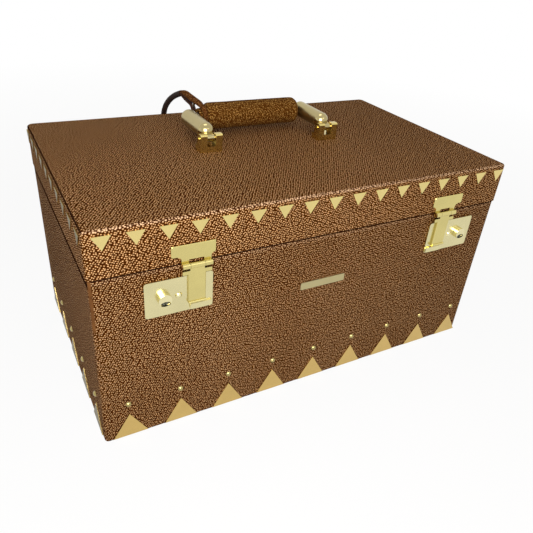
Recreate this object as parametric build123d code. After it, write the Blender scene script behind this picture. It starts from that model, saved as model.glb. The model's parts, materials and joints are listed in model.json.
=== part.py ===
from build123d import *
import math
import os

os.makedirs("parts", exist_ok=True)

# Jewellery trunk, in millimetres. The origin is the middle of its underside, +X runs along the front to the
# right, +Y to the back and +Z up. All sizes that can be set by themselves are named here, once.

# Case
CASE_LENGTH = 359.0
CASE_DEPTH = 210.0
CASE_HEIGHT = 145.5
LEATHER = 1.2
BOARD = 6.8
CORNER_RADIUS = 3.0
FOOT_RADIUS = 1.0
BASE_SHEET = 1.2
BASE_BOARD = 6.8
LINING_BOARD = 1.6
LINING_RISE = 5.0
WELL_PAD = 4.0
SEAM_STRIP_HEIGHT = 40.0
SEAM_STRIP_WIDTH = 2.2
SEAM_STRIP_THICKNESS = 0.35

# Lid
LID_HEIGHT = 34.6
LID_GAP = 0.9
LID_OVERHANG = 0.8
LID_TOP_RADIUS = 2.0
LID_BACK_CORNER_RADIUS = 5.5
LID_LINING = 1.0
LID_LINING_CLEARANCE = 1.3
MIRROR_MARGIN_X = 50.3
MIRROR_MARGIN_Y = 20.8
MIRROR_THICKNESS = 2.8
MIRROR_LIP = 4.0
MIRROR_LIP_THICKNESS = 1.5
MIRROR_FRAME_RIM = 4.0
MIRROR_CLEARANCE = 0.2

# Rear hinges
REAR_HINGE_INSET = 69.5
REAR_HINGE_WIDTH = 40.0
REAR_LEAF_THICKNESS = 1.2
REAR_LEAF_DROP = 23.0
REAR_LEAF_RISE = 17.0
REAR_KNUCKLE_RADIUS = 2.3
REAR_PIN_RADIUS = 1.0
KNUCKLE_CLEARANCE = 0.1
KNUCKLE_END_GAP = 0.2
PIN_CLEARANCE = 0.05
LEAF_CLEARANCE = 0.3

# Brass triangles and studs
TRIM_SHIFT = 2.5
TRIM_THICKNESS = 0.8
TRIM_EDGE = 3.0
FOOT_TRIANGLE_WIDTH = 26.8
FOOT_TRIANGLE_BOTTOM = 1.2
FOOT_TRIANGLE_TOP = 23.2
FOOT_FRONT_PITCH = 40.66
FOOT_SIDE_PITCH = 42.17
STUD_HEIGHT = 32.7
STUD_RADIUS = 2.4
STUD_RISE = 1.7
LID_TRIANGLE_WIDTH = 12.3
LID_TRIANGLE_BELOW_TOP = 4.0
LID_TRIANGLE_DROP = 10.1
LID_TRIANGLE_SHIFT = 1.3
LID_FRONT_PITCH = 21.27
LID_SIDE_PITCH = 21.3
NAMEPLATE_LENGTH = 41.6
NAMEPLATE_HEIGHT = 6.5
NAMEPLATE_DROP = 39.8
NAMEPLATE_THICKNESS = 0.6
NAMEPLATE_SHIFT = 1.2

# Locks. Distances along X are counted from the middle of the lock plate towards the middle of the case.
LOCK_INSET = 54.6
LOCK_SHIFT = 4.7
PLATE_LENGTH = 49.3
PLATE_HEIGHT = 28.5
PLATE_DROP = 8.9
PLATE_THICKNESS = 2.0
PLATE_SKIN = 0.7
PLATE_CORNER = 2.0
FOOT_PAD_HEIGHT = 4.6
FOOT_PAD_RISE = 1.3
KNOB_OFFSET = -11.2
LOCK_ROW_UP = 14.3
KNOB_RADIUS = 4.9
KNOB_RISE = 4.0
KNOB_TRAVEL = 2.2
KNOB_GAP = 0.1
STEM_WIDTH = 3.6
STEM_HEIGHT = 4.0
SLOT_CLEARANCE = 0.1
SLIDE_WIDTH = 10.0
SLIDE_HEIGHT = 10.0
SLIDE_THICKNESS = 1.5
CASE_WALL = 0.8
CASE_DEPTH_IN_BOARD = 5.8
CASE_CLEARANCE = 0.4
DETENT_LEAF = 0.5
BOLT_THICKNESS = 1.0
BOLT_HEIGHT = 2.4
BOLT_END = 9.2
PLUG_RADIUS = 2.0
PLUG_DROP = 0.6
PLUG_DEPTH = 3.4
POCKET_WIDTH = 7.2
POCKET_HEIGHT = 3.8
POCKET_DEPTH = 1.4
PEG_OFFSET = -0.65
PEG_RADIUS = 2.5
PEG_RISE = 1.7
PEG_SHANK_RADIUS = 1.2

# Hasps
HASP_OFFSET = 12.3
HASP_THICKNESS = 2.0
HASP_GAP = 0.1
STRIP_WIDTH = 12.7
STRIP_UP = 6.4
STRIP_LIP = 1.0
SHOULDER_WIDTH = 21.4
SHOULDER_HEIGHT = 3.0
SHOULDER_DROP = 3.8
HASP_KNUCKLE_RADIUS = 2.2
HASP_KNUCKLE_MIDDLE = 10.4
HASP_KNUCKLE_GAP = 0.5
HASP_AXIS_DROP = 0.4
HASP_PIN_RADIUS = 0.9
CATCH_WIDTH = 4.0
CATCH_DROP = 2.0
CATCH_HEIGHT = 4.5
CATCH_GAP = 0.3
HASP_PLATE_LENGTH = 31.9
HASP_PLATE_HEIGHT = 8.8
HASP_PLATE_UP = 5.5
HASP_PLATE_THICKNESS = 1.5
HASP_PLATE_SHIFT = -1.7
HASP_NECK_CORNER = 2.6

# Handle
HANDLE_SHIFT = 2.3
ARM_SPACING = 113.0
MOUNT_WIDTH = 19.2
MOUNT_FRONT = -5.5
MOUNT_BACK = 5.5
EAR_BACK = 2.1
EAR_RISE = 3.6
EAR_FRONT_ROUND = 1.4
EAR_BACK_ROUND = 3.0
MOUNT_SLOT = 7.3
MOUNT_FLOOR = 4.8
HANDLE_PIN_Y = -1.7
HANDLE_PIN_RISE = 11.0
HANDLE_PIN_RADIUS = 1.5
HANDLE_PIN_STAND = 0.8
TONGUE_CLEARANCE = 0.3
EYE_RADIUS = 2.7
ARM_RADIUS = 6.9
ARM_START = 8.2
GRIP_Y = 44.0
GRIP_LIFT = 2.2
CORE_RADIUS = 4.0
CORE_GRIP_IN_ARM = 4.4
GRIP_RADIUS = 11.8
GRIP_END_RADIUS = 4.5
GRIP_SIDE_CLEARANCE = 0.4
NECK_RADIUS = 7.4
NECK_LENGTH = 6.7
MOUNT_BOLT_RADIUS = 1.6
MOUNT_BOLT_SPACING = 12.0
MOUNT_BOLT_GRIP = 4.0
MOUNT_BOLT_HEAD_RADIUS = 3.6
MOUNT_BOLT_HEAD = 3.0

# Leather loop on the grip's neck, and the thong that hangs from it behind the lid
LOOP_CLEARANCE = 0.4
LOOP_THICKNESS = 2.0
LOOP_WIDTH = 3.6
LOOP_TILT = 8.0
LOOP_TIP_Y = 78.0
LOOP_TIP_RISE = 26.0
LOOP_TIP_RADIUS = 2.65
LOOP_TIP_FLAT = 1.0
LOOP_TIP_DROP = 20.0
LOOP_RIVET_RADIUS = 1.3
LOOP_RIVET_Y = 57.5
THONG_DIAMETER = 5.3
THONG_LEAD = 8.6
THONG_POINTS = [
    (-51.2, 96.0, 17.6),
    (-52.5, 104.4, 11.2),
    (-53.5, 110.8, 3.8),
    (-54.1, 114.0, -6.0),
    (-54.3, 115.3, -18.0),
]

# Lift-out tray
TRAY_CLEARANCE = 1.0
TRAY_DROP = 3.5
TRAY_HEIGHT = 38.0
TRAY_BOARD = 3.0
TRAY_SEAT_GAP = 0.1
LEDGE_WIDTH = 7.0
LEDGE_HEIGHT = 10.0
TRAY_DIVIDER = 2.5
TRAY_DIVIDER_HEIGHT = 31.0
RING_BAY_LENGTH = 104.0
RIGHT_BAY_LENGTH = 104.0
RING_ROLL_COUNT = 7
RING_ROLL_GAP = 0.4
SOFT_GAP = 0.3
TRAY_PAD = 1.5
PULL_WIDTH = 16.0
PULL_THICKNESS = 0.8
PULL_RISE = 8.0
PULL_DROP = 20.0
WELL_DIVIDER = 3.0
WELL_DIVIDER_SPACING = 112.0
WELL_DIVIDER_GAP = 6.0

# Planes and heights that follow from the sizes
front = -CASE_DEPTH / 2
back = CASE_DEPTH / 2
core_x = CASE_LENGTH / 2 - LEATHER
core_y = CASE_DEPTH / 2 - LEATHER
inner_x = core_x - BOARD
inner_y = core_y - BOARD
well_x = inner_x - LINING_BOARD
well_y = inner_y - LINING_BOARD
lid_x = CASE_LENGTH / 2 + LID_OVERHANG
lid_y = CASE_DEPTH / 2 + LID_OVERHANG
lid_bottom = CASE_HEIGHT + LID_GAP
lid_top = lid_bottom + LID_HEIGHT
lid_core_x = lid_x - LEATHER
lid_core_y = lid_y - LEATHER
lid_inner_x = lid_core_x - BOARD
lid_inner_y = lid_core_y - BOARD
lid_core_top = lid_top - LEATHER
ceiling = lid_core_top - BOARD
base_top = BASE_SHEET + BASE_BOARD
plate_front = front - PLATE_THICKNESS
hasp_back = plate_front - HASP_GAP
hasp_front = hasp_back - HASP_THICKNESS
plate_bottom = CASE_HEIGHT - PLATE_DROP - PLATE_HEIGHT
lock_row = plate_bottom + LOCK_ROW_UP
plug_row = lock_row - KNOB_RADIUS + PLUG_DROP + PLUG_RADIUS
strip_bottom = plate_bottom + STRIP_UP
catch_bottom = lock_row - CATCH_DROP
hasp_axis_y = -lid_y - HASP_KNUCKLE_GAP - HASP_KNUCKLE_RADIUS
hasp_axis_z = CASE_HEIGHT - HASP_AXIS_DROP
shoulder_top = hasp_axis_z - SHOULDER_DROP
shoulder_bottom = shoulder_top - SHOULDER_HEIGHT
hasp_plate_bottom = lid_bottom + HASP_PLATE_UP
nameplate_bottom = CASE_HEIGHT - NAMEPLATE_DROP - NAMEPLATE_HEIGHT
mirror_x = lid_inner_x - LID_LINING - MIRROR_MARGIN_X
mirror_y = lid_inner_y - LID_LINING - MIRROR_MARGIN_Y
rear_axis_y = lid_y + KNUCKLE_CLEARANCE + REAR_KNUCKLE_RADIUS
rear_axis_z = CASE_HEIGHT + LID_GAP / 2
handle_pin_z = lid_top + HANDLE_PIN_RISE
grip_rise = GRIP_RADIUS + GRIP_LIFT
grip_z = lid_top + grip_rise
tray_x = well_x - TRAY_CLEARANCE
tray_y = well_y - TRAY_CLEARANCE
tray_top = CASE_HEIGHT - TRAY_DROP
tray_bottom = tray_top - TRAY_HEIGHT
tray_floor_top = tray_bottom + TRAY_BOARD


def block(x, y, z):
    """A box between two limits on each axis."""
    middle = Pos((x[0] + x[1]) / 2, (y[0] + y[1]) / 2, (z[0] + z[1]) / 2)
    return middle * Box(x[1] - x[0], y[1] - y[0], z[1] - z[0])


def rod(radius, start, end):
    """A round bar from one point to another."""
    axis = Vector(*end) - Vector(*start)
    bar = Cylinder(radius, axis.length, align=(Align.CENTER, Align.CENTER, Align.MIN))
    return Plane(origin=start, z_dir=axis) * bar


def upright_edges(solid):
    return solid.edges().filter_by(Axis.Z)


def group(pieces):
    """Separate solids of one kind, kept together."""
    return Compound([solid for piece in pieces for solid in piece.solids()])


def save(name, shape):
    shape.label = name
    export_step(shape, f"parts/{name}.step")


def dome(radius, rise):
    """A round head that stands on the plane z = 0."""
    ball = (radius ** 2 + rise ** 2) / (2 * rise)
    whole = Pos(0, 0, rise - ball) * Sphere(ball)
    return whole & block((-radius - 1, radius + 1), (-radius - 1, radius + 1), (0, rise + 1))


def triangle(width, height, points_up):
    """A flat three-cornered plate, with its base line through the origin."""
    tip = height if points_up else -height
    outline = Polyline((-width / 2, 0), (width / 2, 0), (0, tip), close=True)
    return extrude(make_face(outline), TRIM_THICKNESS, dir=(0, 0, 1))


def wall_planes(half_length, half_depth):
    """For each wall, a function that gives the plane at a place along it and a height."""
    return {
        "front": lambda u, z: Plane((u, -half_depth, z), x_dir=(1, 0, 0), z_dir=(0, -1, 0)),
        "back": lambda u, z: Plane((u, half_depth, z), x_dir=(-1, 0, 0), z_dir=(0, 1, 0)),
        "left": lambda u, z: Plane((-half_length, u, z), x_dir=(0, -1, 0), z_dir=(-1, 0, 0)),
        "right": lambda u, z: Plane((half_length, u, z), x_dir=(0, 1, 0), z_dir=(1, 0, 0)),
    }


def row(count, pitch, shift=0.0):
    """Evenly spaced places, centred on the shift."""
    return [shift + (index - (count - 1) / 2) * pitch for index in range(count)]


# Locks, built about the plate's middle with the knob on the left

def for_both_locks(build):
    """The left lock's piece and its mirror image on the right, in place."""
    half_spacing = CASE_LENGTH / 2 - LOCK_INSET
    left_x = LOCK_SHIFT - half_spacing
    right_x = LOCK_SHIFT + half_spacing
    piece = build()
    return Pos(left_x, 0, 0) * piece, Pos(right_x, 0, 0) * mirror(piece, about=Plane.YZ)


def stem_slot(y):
    left = KNOB_OFFSET - STEM_WIDTH / 2 - SLOT_CLEARANCE
    right = KNOB_OFFSET + STEM_WIDTH / 2 + KNOB_TRAVEL + SLOT_CLEARANCE
    half_height = STEM_HEIGHT / 2 + SLOT_CLEARANCE
    return block((left, right), y, (lock_row - half_height, lock_row + half_height))


def lock_case_outer():
    left = KNOB_OFFSET - SLIDE_WIDTH / 2 - CASE_CLEARANCE - CASE_WALL
    right = KNOB_OFFSET + SLIDE_WIDTH / 2 + KNOB_TRAVEL + CASE_CLEARANCE + CASE_WALL
    bottom = lock_row - SLIDE_HEIGHT / 2 - CASE_CLEARANCE - CASE_WALL
    top = lock_row + SLIDE_HEIGHT / 2 + SOFT_GAP + 2 * DETENT_LEAF + CASE_WALL
    case_front = -core_y
    return (left, right), (case_front, case_front + CASE_DEPTH_IN_BOARD), (bottom, top)


def shrink(limits, by):
    return limits[0] + by, limits[1] - by


def lock_plate():
    plate = block(
        (-PLATE_LENGTH / 2, PLATE_LENGTH / 2),
        (plate_front, front),
        (plate_bottom, plate_bottom + PLATE_HEIGHT),
    )
    plate = fillet(plate.edges().filter_by(Axis.Y), PLATE_CORNER)
    pad_left = HASP_OFFSET - STRIP_WIDTH / 2 + 1.5
    pad = block(
        (pad_left, PLATE_LENGTH / 2 - 0.6),
        (plate_front - FOOT_PAD_RISE, plate_front),
        (plate_bottom + 0.6, plate_bottom + 0.6 + FOOT_PAD_HEIGHT),
    )
    pad = fillet(pad.edges().filter_by(Axis.Y), 1.2)
    plate = plate + pad
    plate -= stem_slot((plate_front - 1, front + 1))
    catch_slot = CATCH_WIDTH / 2 + 0.5
    plate -= block(
        (HASP_OFFSET - catch_slot, HASP_OFFSET + catch_slot),
        (plate_front - 0.5, front + 1),
        (catch_bottom - 0.5, plate_bottom + PLATE_HEIGHT + 1),
    )
    half_bolt = BOLT_HEIGHT / 2 + 0.2
    plate -= block(
        (KNOB_OFFSET, HASP_OFFSET),
        (plate_front + PLATE_SKIN, front + 1),
        (lock_row - half_bolt, lock_row + half_bolt),
    )
    peg_start = (PEG_OFFSET, plate_front - 1, lock_row)
    plate -= rod(PEG_SHANK_RADIUS, peg_start, (PEG_OFFSET, front, lock_row))
    return plate


def lock_peg():
    head = Plane((PEG_OFFSET, plate_front, lock_row), z_dir=(0, -1, 0)) * dome(PEG_RADIUS, PEG_RISE)
    shank_end = (PEG_OFFSET, plate_front + PLATE_SKIN, lock_row)
    return head + rod(PEG_SHANK_RADIUS, (PEG_OFFSET, plate_front, lock_row), shank_end)


def lock_case():
    x, y, z = lock_case_outer()
    shell = block(x, y, z) - block(shrink(x, CASE_WALL), shrink(y, CASE_WALL), shrink(z, CASE_WALL))
    return shell - stem_slot((y[0] - 1, y[0] + CASE_WALL + 0.1))


def lock_detent():
    """A leaf spring over the slide, with a rib that drops behind the slide's shoulder."""
    x, y, z = lock_case_outer()
    top = z[1] - CASE_WALL
    leaf_y = (y[0] + CASE_WALL + SOFT_GAP, y[0] + CASE_WALL + SOFT_GAP + SLIDE_THICKNESS)
    leaf = block(shrink(x, CASE_WALL + 1.0), leaf_y, (top - DETENT_LEAF, top))
    rib_radius = 0.9 * DETENT_LEAF
    rib_z = top - DETENT_LEAF
    middle = (x[0] + x[1]) / 2
    rib = rod(rib_radius, (middle, leaf_y[0], rib_z), (middle, leaf_y[1], rib_z))
    return leaf + rib


def lock_knob():
    """The knob, its stem, the slide in the lock case and the bolt, which move as one."""
    knob_back = plate_front - KNOB_GAP
    knob_front = knob_back - KNOB_RISE
    barrel = rod(KNOB_RADIUS, (KNOB_OFFSET, knob_back, lock_row), (KNOB_OFFSET, knob_front, lock_row))
    barrel = fillet(barrel.edges().group_by(Axis.Y)[0], 0.4)
    slide_front = -core_y + CASE_WALL + SOFT_GAP
    stem = block(
        (KNOB_OFFSET - STEM_WIDTH / 2, KNOB_OFFSET + STEM_WIDTH / 2),
        (knob_back, slide_front),
        (lock_row - STEM_HEIGHT / 2, lock_row + STEM_HEIGHT / 2),
    )
    slide = block(
        (KNOB_OFFSET - SLIDE_WIDTH / 2, KNOB_OFFSET + SLIDE_WIDTH / 2),
        (slide_front, slide_front + SLIDE_THICKNESS),
        (lock_row - SLIDE_HEIGHT / 2, lock_row + SLIDE_HEIGHT / 2),
    )
    bolt_back = front - 0.2
    bolt = block(
        (KNOB_OFFSET, BOLT_END),
        (bolt_back - BOLT_THICKNESS, bolt_back),
        (lock_row - BOLT_HEIGHT / 2, lock_row + BOLT_HEIGHT / 2),
    )
    knob = barrel + stem + slide + bolt
    face = Plane((KNOB_OFFSET, knob_front, plug_row), x_dir=(1, 0, 0), z_dir=(0, -1, 0))
    pocket = extrude(face * Ellipse(POCKET_WIDTH / 2, POCKET_HEIGHT / 2), -POCKET_DEPTH)
    bore_end = knob_front + PLUG_DEPTH + PIN_CLEARANCE
    bore = rod(
        PLUG_RADIUS + PIN_CLEARANCE,
        (KNOB_OFFSET, knob_front + POCKET_DEPTH - 0.5, plug_row),
        (KNOB_OFFSET, bore_end, plug_row),
    )
    return knob - pocket - bore


def key_plug():
    """The round key barrel, with a keyway that stands upright at rest."""
    knob_front = plate_front - KNOB_GAP - KNOB_RISE
    plug_front = knob_front + POCKET_DEPTH - 0.4
    plug = rod(
        PLUG_RADIUS,
        (KNOB_OFFSET, plug_front, plug_row),
        (KNOB_OFFSET, knob_front + PLUG_DEPTH, plug_row),
    )
    keyway_depth = (plug_front - 1, plug_front + 1.6)
    ward = block((KNOB_OFFSET - 0.4, KNOB_OFFSET + 0.4), keyway_depth, (plug_row - 1.4, plug_row + 0.6))
    bit = rod(
        0.7,
        (KNOB_OFFSET, keyway_depth[0], plug_row + 0.6),
        (KNOB_OFFSET, keyway_depth[1], plug_row + 0.6),
    )
    return plug - ward - bit


def knuckle_bands():
    """Limits along X of the hasp hinge's left, middle and right knuckles."""
    half_all = SHOULDER_WIDTH / 2
    half_middle = HASP_KNUCKLE_MIDDLE / 2
    middle = (HASP_OFFSET - half_middle, HASP_OFFSET + half_middle)
    left = (HASP_OFFSET - half_all, middle[0] - KNUCKLE_END_GAP)
    right = (middle[1] + KNUCKLE_END_GAP, HASP_OFFSET + half_all)
    return left, middle, right


def hasp_knuckle(x, bore):
    start = (x[0], hasp_axis_y, hasp_axis_z)
    end = (x[1], hasp_axis_y, hasp_axis_z)
    return rod(HASP_KNUCKLE_RADIUS, start, end) - rod(bore, start, end)


def hasp():
    """The swinging strap: knuckle, neck, shoulders, strip, lip and catch."""
    middle = knuckle_bands()[1]
    neck = block(middle, (hasp_front, hasp_back), (shoulder_top - 0.5, hasp_axis_z - 1.2))
    shoulders = block(
        (HASP_OFFSET - SHOULDER_WIDTH / 2, HASP_OFFSET + SHOULDER_WIDTH / 2),
        (hasp_front, hasp_back),
        (shoulder_bottom, shoulder_top),
    )
    shoulders = fillet(shoulders.edges().filter_by(Axis.Y), 0.8)
    strip = block(
        (HASP_OFFSET - STRIP_WIDTH / 2, HASP_OFFSET + STRIP_WIDTH / 2),
        (hasp_front, hasp_back),
        (strip_bottom, shoulder_top - 1),
    )
    front_edges = strip.edges().filter_by(Axis.Z).group_by(Axis.Y)[0]
    strip = chamfer(front_edges, 0.6)
    lip = rod(
        STRIP_LIP,
        (HASP_OFFSET - STRIP_WIDTH / 2, hasp_front, strip_bottom + STRIP_LIP),
        (HASP_OFFSET + STRIP_WIDTH / 2, hasp_front, strip_bottom + STRIP_LIP),
    )
    catch = block(
        (HASP_OFFSET - CATCH_WIDTH / 2, HASP_OFFSET + CATCH_WIDTH / 2),
        (hasp_back, front - CATCH_GAP),
        (catch_bottom, catch_bottom + CATCH_HEIGHT),
    )
    half_notch = BOLT_HEIGHT / 2 + 0.3
    catch -= block(
        (HASP_OFFSET - CATCH_WIDTH / 2 - 1, BOLT_END + KNOB_TRAVEL + 0.5),
        (front - 0.2 - BOLT_THICKNESS - 0.3, front),
        (lock_row - half_notch, lock_row + half_notch),
    )
    knuckle = hasp_knuckle(middle, HASP_PIN_RADIUS + PIN_CLEARANCE)
    axis = ((middle[0], hasp_axis_y, hasp_axis_z), (middle[1], hasp_axis_y, hasp_axis_z))
    whole = neck + shoulders + strip + lip + catch + knuckle
    return whole - rod(HASP_PIN_RADIUS + PIN_CLEARANCE, *axis)


def hasp_mount():
    """The hinge plate on the lid, with the two outer knuckles."""
    y = (-lid_y - HASP_PLATE_THICKNESS, -lid_y)
    middle_x = HASP_OFFSET + HASP_PLATE_SHIFT
    plate = block(
        (middle_x - HASP_PLATE_LENGTH / 2, middle_x + HASP_PLATE_LENGTH / 2),
        y,
        (hasp_plate_bottom, hasp_plate_bottom + HASP_PLATE_HEIGHT),
    )
    plate = fillet(plate.edges().filter_by(Axis.Y), 1.2)
    front_edges = plate.faces().sort_by(Axis.Y)[0].edges()
    plate = chamfer(front_edges, 0.5)
    left, middle, right = knuckle_bands()
    flare = block(
        (left[0] - HASP_NECK_CORNER, right[1] + HASP_NECK_CORNER),
        y,
        (hasp_plate_bottom - HASP_NECK_CORNER, hasp_plate_bottom + 2),
    )
    for x in (left[0] - HASP_NECK_CORNER, right[1] + HASP_NECK_CORNER):
        z = hasp_plate_bottom - HASP_NECK_CORNER
        flare -= rod(HASP_NECK_CORNER, (x, y[0] - 1, z), (x, y[1] + 1, z))
    whole = plate + flare
    for band in (left, right):
        web = block(band, y, (hasp_axis_z, hasp_plate_bottom))
        start = (band[0], hasp_axis_y, hasp_axis_z)
        end = (band[1], hasp_axis_y, hasp_axis_z)
        whole = whole + web + rod(HASP_KNUCKLE_RADIUS, start, end) - rod(HASP_PIN_RADIUS, start, end)
    slot_top = hasp_axis_z + HASP_KNUCKLE_RADIUS + LEAF_CLEARANCE
    slot = block(
        (middle[0] - KNUCKLE_END_GAP, middle[1] + KNUCKLE_END_GAP),
        (y[0] - 5, y[1] + 1),
        (hasp_axis_z - 5, slot_top),
    )
    return whole - slot


def hasp_pin():
    left, _, right = knuckle_bands()
    return rod(
        HASP_PIN_RADIUS,
        (left[0], hasp_axis_y, hasp_axis_z),
        (right[1], hasp_axis_y, hasp_axis_z),
    )


# Case

def case_core():
    """The space inside the leather, which the boards fill."""
    core = block((-core_x, core_x), (-core_y, core_y), (0, CASE_HEIGHT))
    return fillet(upright_edges(core), CORNER_RADIUS - LEATHER)


def lock_cuts(build):
    """One cut for both locks."""
    left, right = for_both_locks(build)
    return left + right


def case_covering():
    outer = block((-CASE_LENGTH / 2, CASE_LENGTH / 2), (front, back), (0, CASE_HEIGHT))
    outer = fillet(upright_edges(outer), CORNER_RADIUS)
    outer = fillet(outer.edges().group_by(Axis.Z)[0], FOOT_RADIUS)
    return outer - case_core() - lock_cuts(lambda: stem_slot((front - 1, -core_y + 1)))


def case_boards():
    z = (BASE_SHEET, CASE_HEIGHT)
    pocket = lock_cuts(lambda: block(lock_case_outer()[0], (-core_y - 1, -inner_y + 1), lock_case_outer()[2]))
    front_board = block((-core_x, core_x), (-core_y, -inner_y), z) & case_core()
    back_board = block((-core_x, core_x), (inner_y, core_y), z) & case_core()
    left_board = block((-core_x, -inner_x), (-inner_y, inner_y), z)
    right_board = block((inner_x, core_x), (-inner_y, inner_y), z)
    return group([front_board - pocket, back_board, left_board, right_board])


def base_sheet():
    sheet = block((-core_x, core_x), (-core_y, core_y), (0, BASE_SHEET))
    return fillet(upright_edges(sheet), CORNER_RADIUS - LEATHER)


def case_lining():
    """Four thin boards that line the case and stand up into the lid to keep it in line."""
    z = (base_top, CASE_HEIGHT + LINING_RISE)
    return group([
        block((-inner_x, inner_x), (-inner_y, -well_y), z),
        block((-inner_x, inner_x), (well_y, inner_y), z),
        block((-inner_x, -well_x), (-well_y, well_y), z),
        block((well_x, inner_x), (-well_y, well_y), z),
    ])


def seam_strip():
    """The bare strip of leather at the front left corner, under the lid."""
    grown = block(
        (-CASE_LENGTH / 2 - SEAM_STRIP_THICKNESS, 0),
        (front - SEAM_STRIP_THICKNESS, 0),
        (CASE_HEIGHT - SEAM_STRIP_HEIGHT, CASE_HEIGHT),
    )
    corner = upright_edges(grown).sort_by(Axis.X)[:2].sort_by(Axis.Y)[0]
    grown = fillet(corner, CORNER_RADIUS + SEAM_STRIP_THICKNESS)
    outer = block((-CASE_LENGTH / 2, CASE_LENGTH / 2), (front, back), (0, CASE_HEIGHT))
    outer = fillet(upright_edges(outer), CORNER_RADIUS)
    window = block(
        (-CASE_LENGTH / 2 - 1, -CASE_LENGTH / 2 + SEAM_STRIP_WIDTH),
        (front - 1, front + SEAM_STRIP_WIDTH / 2),
        (0, CASE_HEIGHT),
    )
    return (grown - outer) & window


def fitting_count(wall_length, width, pitch):
    """How many pieces of a pattern fit along a wall, clear of its edges."""
    return 1 + int((wall_length - width - 2 * TRIM_EDGE) / pitch)


def foot_trim(planes, wall, count, pitch, shift):
    height = FOOT_TRIANGLE_TOP - FOOT_TRIANGLE_BOTTOM
    plate = triangle(FOOT_TRIANGLE_WIDTH, height, True)
    return [planes[wall](u, FOOT_TRIANGLE_BOTTOM) * plate for u in row(count, pitch, shift)]


def studs(planes, wall, count, pitch, shift):
    stud = dome(STUD_RADIUS, STUD_RISE)
    return [planes[wall](u, STUD_HEIGHT) * stud for u in row(count, pitch, shift)]


def lid_trim(planes, wall, count, pitch, shift):
    plate = triangle(LID_TRIANGLE_WIDTH, LID_TRIANGLE_DROP, False)
    z = lid_top - LID_TRIANGLE_BELOW_TOP
    return [planes[wall](u, z) * plate for u in row(count, pitch, shift)]


def nameplate():
    plate = block(
        (NAMEPLATE_SHIFT - NAMEPLATE_LENGTH / 2, NAMEPLATE_SHIFT + NAMEPLATE_LENGTH / 2),
        (front - NAMEPLATE_THICKNESS, front),
        (nameplate_bottom, nameplate_bottom + NAMEPLATE_HEIGHT),
    )
    return fillet(plate.edges().filter_by(Axis.Y), 1.0)


def tray_ledges():
    z = (tray_bottom - LEDGE_HEIGHT, tray_bottom)
    y = (-well_y, well_y)
    return group([
        block((-well_x, -well_x + LEDGE_WIDTH), y, z),
        block((well_x - LEDGE_WIDTH, well_x), y, z),
    ])


def well_dividers():
    z = (base_top + WELL_PAD, tray_bottom - WELL_DIVIDER_GAP)
    half = WELL_DIVIDER / 2
    boards = [block((x - half, x + half), (-well_y, well_y), z) for x in row(2, WELL_DIVIDER_SPACING)]
    return group(boards)


# Rear hinges

def rear_bands():
    """Limits along X of a rear hinge's three knuckles, about its middle."""
    third = REAR_HINGE_WIDTH / 3
    half = REAR_HINGE_WIDTH / 2
    middle = (-third / 2, third / 2)
    return (-half, middle[0] - KNUCKLE_END_GAP), middle, (middle[1] + KNUCKLE_END_GAP, half)


def rear_knuckle(x, bore):
    start = (x[0], rear_axis_y, rear_axis_z)
    end = (x[1], rear_axis_y, rear_axis_z)
    return rod(REAR_KNUCKLE_RADIUS, start, end), rod(bore, start, end)


def rear_case_leaf():
    """The leaf on the back of the case, with the two outer knuckles."""
    left, middle, right = rear_bands()
    z = (CASE_HEIGHT - REAR_LEAF_DROP, CASE_HEIGHT)
    leaf = block((left[0], right[1]), (back, back + REAR_LEAF_THICKNESS), z)
    for band in (left, right):
        knuckle, bore = rear_knuckle(band, REAR_PIN_RADIUS)
        leaf = leaf + knuckle - bore
    notch_bottom = rear_axis_z - REAR_KNUCKLE_RADIUS - LEAF_CLEARANCE
    notch_x = (middle[0] - KNUCKLE_END_GAP, middle[1] + KNUCKLE_END_GAP)
    return leaf - block(notch_x, (back - 1, back + 10), (notch_bottom, CASE_HEIGHT + 10))


def rear_lid_leaf():
    """The leaf on the back of the lid, with the middle knuckle."""
    left, middle, right = rear_bands()
    y = (lid_y, lid_y + REAR_LEAF_THICKNESS)
    leaf = block((left[0], right[1]), y, (lid_bottom, lid_bottom + REAR_LEAF_RISE))
    notch_top = rear_axis_z + REAR_KNUCKLE_RADIUS + LEAF_CLEARANCE
    for band in (left, right):
        notch_x = (band[0] - KNUCKLE_END_GAP, band[1] + KNUCKLE_END_GAP)
        leaf -= block(notch_x, (lid_y - 1, lid_y + 10), (lid_bottom - 1, notch_top))
    knuckle, bore = rear_knuckle(middle, REAR_PIN_RADIUS + PIN_CLEARANCE)
    return leaf + knuckle - bore


def rear_pin():
    left, _, right = rear_bands()
    return rod(REAR_PIN_RADIUS, (left[0], rear_axis_y, rear_axis_z), (right[1], rear_axis_y, rear_axis_z))


def for_both_hinges(piece):
    spacing = CASE_LENGTH - 2 * REAR_HINGE_INSET
    return group([Pos(x, 0, 0) * piece for x in row(2, spacing)])


# Lid

def lid_core():
    core = block((-lid_core_x, lid_core_x), (-lid_core_y, lid_core_y), (lid_bottom, lid_core_top))
    edges = upright_edges(core).sort_by(Axis.Y)
    core = fillet(edges[:2], CORNER_RADIUS - LEATHER)
    edges = upright_edges(core).sort_by(Axis.Y)
    return fillet(edges[-2:], LID_BACK_CORNER_RADIUS - LEATHER)


def mount_bolt_places():
    places = []
    for mount_x in row(2, ARM_SPACING, HANDLE_SHIFT):
        places += row(2, MOUNT_BOLT_SPACING, mount_x)
    return places


def mount_bolt_holes():
    holes = []
    heads = []
    for x in mount_bolt_places():
        holes.append(rod(MOUNT_BOLT_RADIUS, (x, 0, ceiling), (x, 0, lid_top + MOUNT_BOLT_GRIP)))
        heads.append(rod(MOUNT_BOLT_HEAD_RADIUS, (x, 0, ceiling), (x, 0, ceiling + MOUNT_BOLT_HEAD)))
    return holes, heads


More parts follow.
